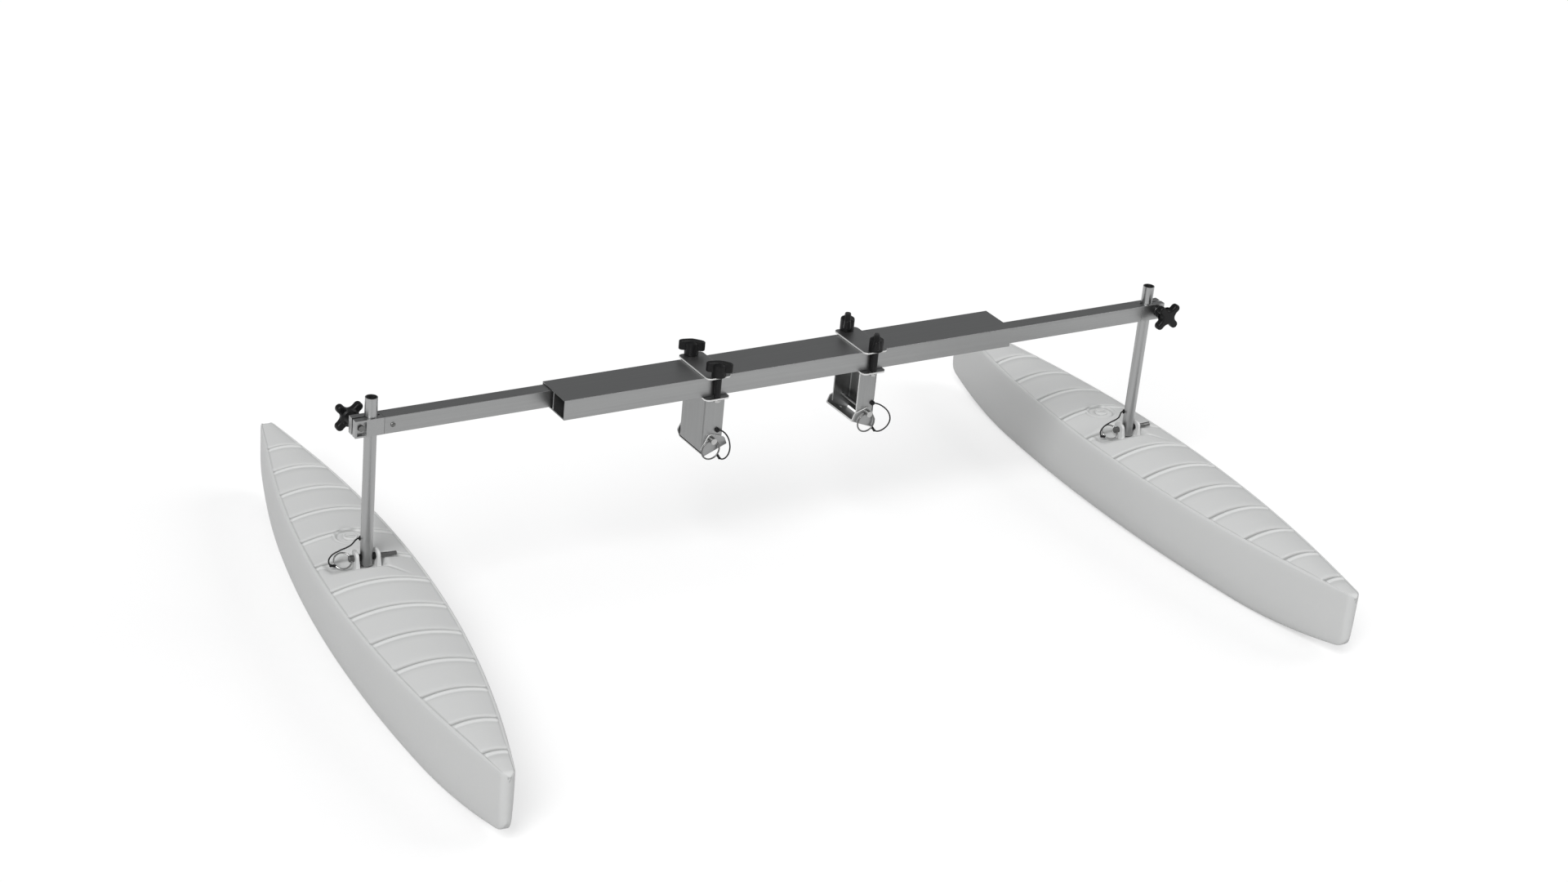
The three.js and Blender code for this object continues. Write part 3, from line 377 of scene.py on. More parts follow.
def new_material(name: str) -> tuple[bpy.types.Material, Nodes, Node, Socket]:
    """Starts a material.

    Args:
        name: The finish's name.

    Returns:
        The material, its nodes, its surface shader and the object's coordinates.
    """
    material = bpy.data.materials.new(name)
    material.use_nodes = True
    nodes = Nodes(material.node_tree)
    shader = material.node_tree.nodes["Principled BSDF"]
    return material, nodes, shader, nodes.add("TexCoord").outputs["Object"]


@dataclass(frozen=True)
class Finish:
    """What every finish has, with its slot in the record."""

    name: str
    slot: Slot
    colour: Colour
    roughness: float

    def material(self) -> bpy.types.Material:
        """The finish's material, built the first time that it is asked for.

        Returns:
            The material.
        """
        found = bpy.data.materials.get(self.name)
        if not found:
            found, nodes, shader, coordinates = new_material(self.name)
            self.dress(nodes, shader, coordinates)
        return found

    def dress(self, nodes: Nodes, shader: Node, coordinates: Socket) -> None:
        """Gives the surface its look. Each kind of finish has its own way."""
        raise NotImplementedError


@dataclass(frozen=True)
class Metal(Finish):
    """A bare or anodised metal with drawn lines, clouding and bright edges, which are partly worn and partly
    a painted highlight.
    """

    stretch: Point
    line_depth: float = 0.00002
    line_strength: float = 0.2
    line_shade: float = 0.3
    sheen: tuple[float, float] = (-0.02, 0.03)
    # Bright edges: partly real wear, partly a painted highlight on rounded and cut edges.
    worn_colour: Colour = (0.92, 0.92, 0.91)
    worn_and_highlight_metal: float = 0.2
    wear_and_highlight: float = 0.7
    least_wear_and_highlight: float = 0.6
    cloud: float = 0.12
    cloud_size: float = 0.3
    dulling: float = 0.72
    dry_marks: float = 0.02

    def dress(self, nodes: Nodes, shader: Node, coordinates: Socket) -> None:
        """Gives the metal its lines, clouds and bright edges, partly worn and partly a painted highlight.

        Args:
            nodes: The material's nodes.
            shader: Its surface shader.
            coordinates: The object's coordinates.
        """
        along = nodes.add("Mapping", Vector=coordinates, Scale=self.stretch).outputs["Vector"]
        lines = Effect.DRAWN_LINES.place(nodes, Vector=along)
        weather = Effect.WEATHER.place(nodes, Vector=coordinates, Size=self.cloud_size)
        edge = nodes.mask(EDGE_MASK)
        dull = dimmed(self.colour, self.dulling)
        shade = nodes.mix(self.colour, dull, weather["Cloud"], self.cloud)
        shade = nodes.mix(shade, dull, lines["Shade"], self.line_shade)
        wear_and_highlight = nodes.spread(weather["Cloud"], self.wear_and_highlight, self.wear_and_highlight * self.least_wear_and_highlight)
        low, high = self.sheen
        rough = nodes.spread(lines["Shade"], self.roughness + low, self.roughness + high)
        relief = {"Strength": self.line_strength, "Distance": self.line_depth}
        nodes.feed(
            shader,
            # The edge mask paints rounded and cut edges bright and less metallic: partly wear, partly a
            # painted highlight.
            Base_Color=nodes.mix(shade, self.worn_colour, edge, wear_and_highlight),
            Roughness=nodes.maths("ADD", rough, nodes.maths("MULTIPLY", weather["Marks"], self.dry_marks)),
            Metallic=nodes.spread(edge, 1.0, self.worn_and_highlight_metal),
            Normal=nodes.add("Bump", Height=lines["Height"], **relief).outputs["Normal"],
        )


@dataclass(frozen=True)
class Plastic(Finish):
    """A moulded plastic with a pebbled skin, rubbed edges and painted shade in its hollows."""

    rubbed_colour: Colour
    hollow_colour: Colour
    grains: float
    grain_depth: float
    grain_strength: float = 0.6
    sheen: float = 0.05
    rub: float = 0.4
    hollow_shade: float = 0.5
    cloud_size: float = 0.08
    cloud: float = 0.3
    dulling: float = 0.86
    marks: float = 0.35
    edge_spread: float = 0.08
    gloss: float = 0.5
    mask: str = ""
    shade_mask_strength: float = 0.75

    def dress(self, nodes: Nodes, shader: Node, coordinates: Socket) -> None:
        """Gives the plastic its grain, clouds, rubbed edges and painted shade in its hollows and grooves.

        Args:
            nodes: The material's nodes.
            shader: Its surface shader.
            coordinates: The object's coordinates.
        """
        grain = Effect.MOULDED_GRAIN.place(nodes, Vector=coordinates, Scale=self.grains)
        weather = Effect.WEATHER.place(nodes, Vector=coordinates, Size=self.cloud_size)
        edges = Effect.EDGES.place(nodes, Vector=coordinates, Spread=self.edge_spread)
        shade = nodes.mix(self.colour, dimmed(self.colour, self.dulling), weather["Cloud"], self.cloud)
        shade = nodes.mix(shade, self.rubbed_colour, weather["Marks"], self.marks)
        # Painted shade: hollows and creases are darkened where shade would fall.
        shade = nodes.mix(shade, self.hollow_colour, edges["Hollow"], self.hollow_shade)
        shade = nodes.mix(shade, self.rubbed_colour, edges["Worn"], self.rub)
        if self.mask:
            # Painted shade: the mask darkens the float's grooves.
            shade = nodes.mix(shade, self.hollow_colour, nodes.mask(self.mask), self.shade_mask_strength)
        rough = nodes.spread(grain["Shade"], self.roughness - self.sheen, self.roughness + self.sheen)
        relief = {"Strength": self.grain_strength, "Distance": self.grain_depth}
        nodes.feed(
            shader, Base_Color=shade, Specular_IOR_Level=self.gloss, Roughness=rough,
            Normal=nodes.add("Bump", Height=grain["Height"], **relief).outputs["Normal"],
        )


ALONG_X: Point = (3.0, 900.0, 900.0)
ALONG_Y: Point = (900.0, 3.0, 900.0)
ALONG_Z: Point = (900.0, 900.0, 3.0)

EXTRUDED = Metal("satin_extrusion", Slot.ALUMINIUM, (0.36, 0.363, 0.363), 0.38, ALONG_X)
POST_METAL = Metal("drawn_post_tube", Slot.ALUMINIUM, (0.4, 0.403, 0.403), 0.33, ALONG_Z)
SHEET_METAL = Metal("folded_sheet", Slot.ALUMINIUM, (0.35, 0.353, 0.353), 0.4, ALONG_Z, wear_and_highlight=0.95)
FLAT_SHEET = Metal("rolled_plate", Slot.ALUMINIUM, (0.36, 0.363, 0.363), 0.4, ALONG_X, wear_and_highlight=0.95)
MACHINED = Metal("machined_block", Slot.ALUMINIUM, (0.38, 0.383, 0.383), 0.35, ALONG_Y)
STAINLESS = Metal(
    "polished_stainless", Slot.STEEL, (0.5, 0.5, 0.495), 0.24, ALONG_Y, line_depth=0.00001,
    wear_and_highlight=0.2, cloud=0.1,
)
DULL_STEEL = Metal(
    "dull_steel", Slot.STEEL, (0.2, 0.2, 0.198), 0.4, ALONG_Y, line_depth=0.00001, wear_and_highlight=0.3, cloud=0.2
)
BLACK_PLASTIC = Plastic(
    "satin_black_moulding", Slot.BLACK_PLASTIC, (0.005, 0.005, 0.0053), 0.42,
    (0.02, 0.02, 0.021), (0.003, 0.003, 0.003), 1800.0, 0.00006, gloss=0.22, marks=0.2,
)
HULL_PLASTIC = Plastic(
    "hull_moulding", Slot.HULL_PLASTIC, (0.66, 0.665, 0.66), 0.5,
    (0.76, 0.765, 0.76), (0.3, 0.305, 0.3), 520.0, 0.00016, rub=0.15, hollow_shade=0.5,
    cloud_size=0.4, cloud=0.15, marks=0.15, edge_spread=0.035, mask=GROOVE_SHADE_MASK,
)
CABLE_COATING = Plastic(
    "cable_coating", Slot.CABLE, (0.008, 0.008, 0.0085), 0.36,
    (0.03, 0.03, 0.031), (0.005, 0.005, 0.005), 2600.0, 0.00003, gloss=0.3,
)


# Meshes


def mended(bm: Mesh) -> Mesh:
    """Merges a mesh's doubles and turns its faces outwards.

    Args:
        bm: The mesh.

    Returns:
        The same mesh.
    """
    bmesh.ops.remove_doubles(bm, verts=bm.verts[:], dist=MERGE_DISTANCE)
    bmesh.ops.recalc_face_normals(bm, faces=bm.faces[:])
    return bm


def spun(bm: Mesh, steps: int) -> Mesh:
    """Spins a line or a circle about Z into a closed shape.

    Args:
        bm: The mesh, which holds nothing else.
        steps: Facets round the turn.

    Returns:
        The same mesh.
    """
    bmesh.ops.spin(
        bm, geom=bm.verts[:] + bm.edges[:], cent=(0, 0, 0), axis=UPWARD, dvec=(0, 0, 0),
        angle=FULL_TURN, steps=steps, use_merge=True, use_duplicate=False,
    )
    return mended(bm)


def lathe(outline: Outline | list[tuple[float, float]], steps: int, closed: bool = False) -> Mesh:
    """Spins an outline about Z.

    Args:
        outline: Points as radius and height.
        steps: Facets round the turn.
        closed: Whether the last point joins the first, as in a tube.

    Returns:
        The turned shape.
    """
    bm = bmesh.new()
    verts = [bm.verts.new((radius, 0, height)) for radius, height in outline]
    for one, other in zip(verts, verts[1:]):
        bm.edges.new((one, other))
    if closed:
        bm.edges.new((verts[-1], verts[0]))
    return spun(bm, steps)


def sleeve(hole: float, radius: float, low: float, high: float, steps: int, edge: float) -> Mesh:
    """A round sleeve about Z with broken edges, by its two radii and its two ends."""
    outline = [(hole, low), (radius, low), (radius, high), (hole, high)]
    return soften(lathe(outline, steps, closed=True), edge)


def hex_bolt(head: Point, edge: float, shank: Point) -> Mesh:
    """A bolt about Z with a hexagonal head and a plain shank that reaches into it.

    Args:
        head: The head's radius, its height and the height of its middle.
        edge: How much the head's edges are broken.
        shank: The shank's radius and its two ends.

    Returns:
        The bolt.
    """
    bm = bmesh.new()
    radius, height, middle = head
    bmesh.ops.create_cone(
        bm, cap_ends=True, segments=6, radius1=radius, radius2=radius, depth=height,
        matrix=Matrix.Translation((0, 0, middle)),
    )
    soften(bm, edge)
    radius, near, far = shank
    return joined(bm, lathe([(0, near), (radius, near), (radius, far), (0, far)], 24))


def ring_of_wire(radius: float, wire: float, steps: int = 64, sides: int = 14) -> Mesh:
    """A ring of round wire about Z.

    Args:
        radius: From the ring's middle to the middle of the wire.
        wire: The wire's radius.
        steps: Facets round the ring.
        sides: Facets round the wire.

    Returns:
        The ring.
    """
    bm = bmesh.new()
    upright = Matrix.Translation((radius, 0, 0)) @ Matrix.Rotation(QUARTER_TURN, 4, "X")
    bmesh.ops.create_circle(bm, cap_ends=False, radius=wire, segments=sides, matrix=upright)
    return spun(bm, steps)


def block(size: Point, middle: Point) -> Mesh:
    """A box that is to be rounded.

    Args:
        size: Its length along each axis.
        middle: Its middle.

    Returns:
        The box.
    """
    bm = bmesh.new()
    bmesh.ops.create_cube(bm, size=1, matrix=Matrix.Translation(middle) @ Matrix.Diagonal((*size, 1)))
    return bm


def edge_layer(bm: Mesh) -> bmesh.types.BMLayerItem:
    """The attribute that says how bright each face is painted, as wear and as a painted highlight."""
    return bm.faces.layers.float.get(EDGE_MASK) or bm.faces.layers.float.new(EDGE_MASK)


def bevel(bm: Mesh, edges: list[Edge], width: float, segments: int, bright: float = 0.8) -> None:
    """Rounds edges.

    Args:
        bm: The mesh.
        edges: The edges to round.
        width: The rounding's offset from each edge.
        segments: Its facets.
        bright: How bright the rounding is painted, as wear and as a painted highlight, from 0 for a folded
            bend to 1 for a cut edge.
    """
    if edges:
        made = bmesh.ops.bevel(
            bm, geom=edges, offset=width, offset_type="OFFSET", segments=segments,
            profile=0.5, affect="EDGES", material=-1, clamp_overlap=True,
        )
        mask = edge_layer(bm)
        for face in made["faces"]:
            if face.is_valid:
                face[mask] = bright


def is_sharp(edge: Edge, limit: float = SHARP_ANGLE) -> bool:
    """Whether two faces meet at an edge by more than an angle."""
    return len(edge.link_faces) == 2 and edge.calc_face_angle(0) > limit


def soften(bm: Mesh, width: float, segments: int = 2, limit: float = SHARP_ANGLE) -> Mesh:
    """Rounds every edge that is sharper than a limit, and gives the mesh back."""
    bevel(bm, [edge for edge in bm.edges if is_sharp(edge, limit)], width, segments)
    return bm


def edges_along(bm: Mesh, axis: Vector, least: float = 0) -> list[Edge]:
    """The sharp edges that lie along an axis.

    Args:
        bm: The mesh.
        axis: A unit vector.
        least: The shortest edge that counts.

    Returns:
        Those edges.
    """
    found = []
    for edge in bm.edges:
        run = edge.verts[1].co - edge.verts[0].co
        if run.length > least and abs(run.normalized().dot(axis)) > 0.999 and is_sharp(edge):
            found.append(edge)
    return found


def with_cut_edges(bm: Mesh, thickness: float) -> Mesh:
    """Marks the narrow faces round a sheet, where it was cut, as bright edges, partly wear and partly a
    painted highlight.

    Args:
        bm: The sheet's mesh.
        thickness: The sheet's thickness, which no cut face is wider than.

    Returns:
        The same mesh.
    """
    mask = edge_layer(bm)
    for face in bm.faces:
        half_way_round = sum(edge.calc_length() for edge in face.edges) / 2
        if face.calc_area() < thickness * half_way_round:
            face[mask] = 1.0
    return bm


def cut_across(bm: Mesh, axis: Vector, place: float) -> None:
    """Cuts a mesh's faces at a place along an axis, and keeps both sides."""
    everything = [*bm.verts, *bm.edges, *bm.faces]
    bmesh.ops.bisect_plane(bm, geom=everything, plane_co=axis * place, plane_no=axis)


def extrude_up(bm: Mesh, faces: list[bmesh.types.BMFace], lift: float) -> None:
    """Extrudes faces along Z.

    Args:
        bm: The mesh.
        faces: The faces, which stay where they are.
        lift: How far the new ones move.
    """
    grown = bmesh.ops.extrude_face_region(bm, geom=faces)["geom"]
    moved = [item for item in grown if isinstance(item, bmesh.types.BMVert)]
    bmesh.ops.translate(bm, verts=moved, vec=(0, 0, lift))


def cad_copy(node: str) -> Mesh:
    """A merged copy of a CAD node's mesh with its flat faces whole.

    Args:
        node: The node's name.

    Returns:
        The copy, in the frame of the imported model.
    """
    bm = bmesh.new()
    bm.from_mesh(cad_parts[node].data)
    bmesh.ops.remove_doubles(bm, verts=bm.verts[:], dist=MERGE_DISTANCE)
    bmesh.ops.dissolve_limit(
        bm, angle_limit=FLAT_ANGLE, verts=bm.verts[:], edges=bm.edges[:],
        use_dissolve_boundaries=False, delimit=set(),
    )
    return bm


def joined(first: Mesh, *others: Mesh) -> Mesh:
    """Puts several shapes in the first one's mesh.

    Args:
        first: The mesh that takes the others in.
        *others: The others, which are used up.

    Returns:
        The first one.
    """
    for shape in others:
        carrier = bpy.data.meshes.new("carrier")
        shape.to_mesh(carrier)
        shape.free()
        first.from_mesh(carrier)
        bpy.data.meshes.remove(carrier)
    return first


def towards(direction: Vector, start: Vector | Point = (0, 0, 0)) -> Matrix:
    """The matrix that lays a shape's Z along a direction, with its origin at a start."""
    turn = UPWARD.rotation_difference(Vector(direction)).to_matrix().to_4x4()
    return Matrix.Translation(start) @ turn


def stood(bm: Mesh, direction: Vector | Point, start: Vector | Point = (0, 0, 0)) -> Mesh:
    """Stands a shape that was made about Z on a start, along a direction, and gives it back."""
    bm.transform(towards(direction, start))
    return bm


def spans(points: list[Vector]) -> list[float]:
    """How far it is from each point to the next."""
    return [(other - one).length for one, other in zip(points, points[1:])]


def smooth_route(points: list[Vector], per_span: int = 8) -> list[Vector]:
    """Points on one smooth curve through given ones.

    Args:
        points: The given points.
        per_span: New points from each one to the next.

    Returns:
        The close points, from the first to the last.
    """
    ends = [points[0] * 2 - points[1], *points, points[-1] * 2 - points[-2]]
    close = []
    for before, one, other, after in zip(ends, ends[1:], ends[2:], ends[3:]):
        for step in range(per_span):
            t = step / per_span
            bend = (other - before) * t + (before * 2 - one * 5 + other * 4 - after) * t**2
            close.append(one + (bend + (one * 3 - before - other * 3 + after) * t**3) / 2)
    return [*close, points[-1]]


def tube_along(points: list[Vector], radius: float) -> Mesh:
    """A round tube along close points.

    Args:
        points: The points of its middle line.
        radius: The tube's radius.

    Returns:
        The tube, with closed ends.
    """
    line = bpy.data.curves.new("line", "CURVE")
    line.dimensions = "3D"
    line.bevel_depth = radius
    line.bevel_resolution = 4
    line.use_fill_caps = True
    spline = line.splines.new("POLY")
    spline.points.add(len(points) - 1)
    for place, point in zip(spline.points, points):
        place.co = (*point, 1)
    carrier = bpy.data.objects.new("line", line)
    mesh = bpy.data.meshes.new_from_object(carrier)
    bm = bmesh.new()
    bm.from_mesh(mesh)
    bpy.data.objects.remove(carrier)
    bpy.data.curves.remove(line)
    bpy.data.meshes.remove(mesh)
    return mended(bm)


# Pieces


def make_piece(
    name: str, body: str, finish: Finish, bm: Mesh, place: Matrix | None = None,
    nodes: tuple[str, ...] = (), rides: bool = True, sharp: float = SHARP_ANGLE,
) -> bpy.types.Object:
    """Makes a finished piece from a mesh.

    Args:
        name: The piece's name.
        body: The body that it rides on.
        finish: Its finish.
        bm: Its mesh, which is used up.
        place: Where it goes, or None where it is in place already.
        nodes: The CAD nodes that it stands for.
        rides: Whether it follows its one body.
        sharp: The least angle that shows as sharp.

    Returns:
        The piece's object.
    """
    if place is not None:
        bm.transform(place)
    mesh = bpy.data.meshes.new(name)
    bm.to_mesh(mesh)
    bm.free()
    mesh.polygons.foreach_set("use_smooth", [True] * len(mesh.polygons))
    mesh.set_sharp_from_angle(angle=sharp)
    mesh.materials.append(finish.material())
    made = bpy.data.objects.new(name, mesh)
    bpy.context.scene.collection.objects.link(made)
    made.modifiers.new("even_shading", "WEIGHTED_NORMAL").keep_sharp = True
    if rides:
        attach(made, body)
    if nodes:
        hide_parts(*nodes)
    LOG.info("%s: %d faces on %s", name, len(mesh.polygons), body)
    return made


@dataclass
class Assembly:
    """A sub-assembly that stands at one end of the beam, with short names for its pieces."""

    side: Side
    layout: Layout

    def fit(
        self, name: str, body: str, finish: Finish, bm: Mesh, place: Matrix | None = None,
        node: str = "", **ways: object,
    ) -> bpy.types.Object:
        """Makes a piece of this side, with the side's word before each name.

        Args:
            name: The piece's name.
            body: The body that it rides on.
            finish: Its finish.
            bm: Its mesh, which is used up.
            place: Where it goes, or None where it is in place already.
            node: The CAD node that it stands for, if any.
            **ways: What else make_piece takes.

        Returns:
            The piece's object.
        """
        nodes = (self.full(node),) if node else ()
        return make_piece(self.full(name), self.full(body), finish, bm, place, nodes, **ways)

    def full(self, name: str) -> str:
        """A name with the side's word before it."""
        return f"{self.side.word}_{name}"

    def cad(self, node: str) -> Mesh:
        """A copy of this side's CAD node."""
        return cad_copy(self.full(node))


# Studio


@dataclass
class Studio:
    """The camera, the lamps and the floor."""

    layout: Layout
    camera_place: Point = (-2.7384, -4.199, 2.2372)
    camera_heading: float = 0.5811
    camera_dip: float = 0.4456
    camera_roll: float = -0.0994
    focal_length: float = 69.1
    farthest: float = 100
    shift: tuple[float, float] = (-0.00125, 0.00026)
    floor_colour: Colour = (0.5, 0.5, 0.5)
    floor_dimming: float = 0.98
    floor_cloud: float = 1.2
    floor_roughness: float = 0.9
    floor_gloss: float = 0.1
    floor_lift: float = 0.56
    floor_half: float = 30.0
    sky_colour: Colour = (0.25, 0.252, 0.255)
    lamps: tuple[tuple[str, float, float, float, float], ...] = (
        ("key_lamp", 2.3, math.radians(-48), math.radians(42), math.radians(28)),
        ("fill_lamp", 0.9, math.radians(75), math.radians(38), math.radians(40)),
    )

    def build(self) -> None:
        """Builds all of it."""
        self.build_camera()
        self.build_lamps()
        self.build_floor()
        bpy.context.scene.view_settings.view_transform = "Standard"

    def camera_turn(self) -> Matrix:
        """The camera's turn, from its heading, dip and roll.

        Returns:
            The matrix.
        """
        heading, dip, roll = self.camera_heading, self.camera_dip, self.camera_roll
        ahead = math.cos(dip)
        forward = Vector((math.sin(heading) * ahead, math.cos(heading) * ahead, -math.sin(dip)))
        level = Vector((math.cos(heading), -math.sin(heading), 0))
        down = forward.cross(level)
        right = level * math.cos(roll) + down * math.sin(roll)
        lower = down * math.cos(roll) - level * math.sin(roll)
        return Matrix((right, -lower, -forward)).transposed().to_4x4()

    def build_camera(self) -> None:
        """Puts the camera where the photograph was taken."""
        data = bpy.data.cameras.new("camera")
        data.lens = self.focal_length
        data.shift_x, data.shift_y = self.shift
        data.clip_end = self.farthest
        camera = bpy.data.objects.new("camera", data)
        camera.matrix_world = self.layout.at(*self.camera_place) @ self.camera_turn()
        bpy.context.scene.collection.objects.link(camera)
        bpy.context.scene.camera = camera

    def build_lamps(self) -> None:
        """Hangs the lamps and lights the world."""
        for name, strength, heading, height, softness in self.lamps:
            data = bpy.data.lights.new(name, "SUN")
            data.energy = strength
            data.angle = softness
            lamp = bpy.data.objects.new(name, data)
            lamp.matrix_world = towards(Vector((math.sin(heading), -math.cos(heading), math.tan(height))))
            bpy.context.scene.collection.objects.link(lamp)
        world = bpy.data.worlds.new("sky")
        world.use_nodes = True
        world.node_tree.nodes["Background"].inputs["Color"].default_value = opaque(self.sky_colour)
        bpy.context.scene.world = world

    def build_floor(self) -> None:
        """Lays the white floor, which isn't part of the object and keeps its shadow."""
        bm = bmesh.new()
        bmesh.ops.create_grid(bm, x_segments=2, y_segments=2, size=self.floor_half)
        mesh = bpy.data.meshes.new("floor")
        bm.to_mesh(mesh)
        bm.free()
        material, nodes, shader, coordinates = new_material("pale_floor")
        cloud = Effect.WEATHER.place(nodes, Vector=coordinates, Size=self.floor_cloud)["Cloud"]
        ray = nodes.add("LightPath").outputs
        seen = nodes.maths("ADD", ray["Is Camera Ray"], ray["Is Glossy Ray"])
        seen = nodes.maths("ADD", seen, ray["Is Transmission Ray"])
        nodes.feed(
            shader,
            Base_Color=nodes.mix(self.floor_colour, dimmed(self.floor_colour, self.floor_dimming), cloud),
            Roughness=self.floor_roughness,
            Specular_IOR_Level=self.floor_gloss,
            Emission_Color=opaque((1, 1, 1)),
            Emission_Strength=nodes.spread(seen, 0, self.floor_lift),
        )
        mesh.materials.append(material)
        floor = bpy.data.objects.new("floor", mesh)
        bpy.context.scene.collection.objects.link(floor)


# Pins with their rings and lanyards


@dataclass
class PullPin(Assembly):
    """A quick-release pin with a collar, a pull ring and a short coated lanyard."""

    kind: str = ""
    host: str = ""
    pin_finish: Finish = STAINLESS
    ring_finish: Finish = STAINLESS
    start: Point = (0, 0, 0)
    tip: Point = (0, 0, 0)
    radius: float = 0.004
    collar: tuple[float, float] = (0.006, 0.009)
    tip_chamfer: float = 0.0012
    edge: float = 0.0004
    ring_radius: float = 0.018
    wire: float = 0.0015
    cable_radius: float = 0.0014
    ferrule: tuple[float, float] = (0.0026, 0.011)
    knurls: int = 0
    knurl_pitch: float = 0.0026
    knurl_depth: float = 0.0005
    button: tuple[float, float] = (0.0046, 0.0034)
    route: tuple[Point, ...] = ()

    def place(self) -> Matrix:
        """Where the pin's own frame stands. Each kind of pin has its own place."""
        raise NotImplementedError

    def ring_plane(self) -> tuple[Vector, Vector]:
        """From the pin to the ring's middle, and the other direction in the ring's plane."""
        raise NotImplementedError

    def button_seat(self, first: Vector) -> tuple[Vector, Vector]:
        """The way that the lanyard's button looks, and the middle of its flat side."""
        raise NotImplementedError

    def points(self) -> list[Vector]:
        """The lanyard's points in the pin's own frame."""
        return [Vector(point) for point in self.route]

    def build(self) -> None:
        """Builds the pin, its ring and its lanyard."""
        kind, pin = self.kind, f"{self.kind}_pin"
        place, route = self.place(), self.points()
        self.fit(f"{kind}_pin_shank", pin, self.pin_finish, self.pin_mesh(), place, pin)
        self.fit(f"{kind}_pull_ring", pin, self.ring_finish, self.ring_mesh(), place, f"{pin}_ring")
        fittings = [
            self.fit(f"{kind}_ferrule", pin, BLACK_PLASTIC, self.ferrule_mesh(route[-1], route[-2]), place),
            self.fit(f"{kind}_cable_button", self.host, BLACK_PLASTIC, self.button_mesh(route[0]), place),
        ]
        self.build_cable([place @ point for point in smooth_route(route)], fittings)

    def pin_mesh(self) -> Mesh:
        """The pin with its collar at the start and a broken tip.

        Returns:
            The pin in its own frame.
        """
        start, tip = Vector(self.start), Vector(self.tip)
        radius, length, chamfer = self.radius, (tip - start).length, self.tip_chamfer
        wide, back = self.collar
        outline = [(0, -back), (wide, -back), (wide, 0), (radius, 0)]
        for count in range(self.knurls, 0, -1):
            foot = length - chamfer - count * self.knurl_pitch
            quarter, waist = self.knurl_pitch / 4, radius - self.knurl_depth
            outline += [(radius, foot), (waist, foot + quarter), (waist, foot + 2 * quarter)]
            outline.append((radius, foot + 3 * quarter))
        outline += [(radius, length - chamfer), (radius - chamfer, length), (0, length)]
        return stood(soften(lathe(outline, 32), self.edge, limit=TURNED_ANGLE), tip - start, start)

    def button_mesh(self, first: Vector) -> Mesh:
        """The domed head that holds the lanyard's start.

        Args:
            first: The lanyard's first point.

        Returns:
            The head in the pin's own frame.
        """
        radius, height = self.button
        outline = [(0, 0), (radius, 0), (radius, height * 0.4), (radius * 0.8, height * 0.8)]
        outline += [(radius * 0.4, height), (0, height)]
        return stood(soften(lathe(outline, 28), self.edge, limit=TURNED_ANGLE), *self.button_seat(first))

    def ring_mesh(self) -> Mesh:
        """The ring through the middle of the collar.

        Returns:
            The ring in the pin's own frame.
        """
        start = Vector(self.start)
        hold = start - (Vector(self.tip) - start).normalized() * self.collar[1] / 2
        outward, across = self.ring_plane()
        turn = Matrix((outward, across, outward.cross(across))).transposed().to_4x4()
        bm = ring_of_wire(self.ring_radius, self.wire)
        bm.transform(Matrix.Translation(hold + outward * self.ring_radius) @ turn)
        return bm

    def ferrule_mesh(self, end: Vector, back: Vector) -> Mesh:
        """The crimped sleeve over the lanyard's end.

        Args:
            end: The end of the lanyard.
            back: A point on the lanyard before it.

        Returns:
            The sleeve in the pin's own frame.
        """
        way = (end - back).normalized()
        radius, length = self.ferrule
        half, waist = length / 2, radius * 0.86
        outline = [
            (0, -half), (radius * 0.8, -half), (radius, -half * 0.86), (radius, -half * 0.5),
            (waist, -half * 0.4), (waist, half * 0.1), (radius, half * 0.2), (radius, half * 0.86),
            (radius * 0.8, half), (0, half),
        ]
        return stood(lathe(outline, 24), way, end - way * half * 0.4)

    def build_cable(self, close: list[Vector], fittings: list[bpy.types.Object]) -> None:
        """Args:
            close: The close points of its middle line.
            fittings: Not used.
        """
        name, node, tube = f"{self.kind}_cable", f"{self.kind}_lanyard", tube_along(close, self.cable_radius)
        made = self.fit(name, self.host, CABLE_COATING, tube, None, node, rides=False)
        self.full(self.host)
        self.full(f"{self.kind}_pin")
        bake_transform(made)


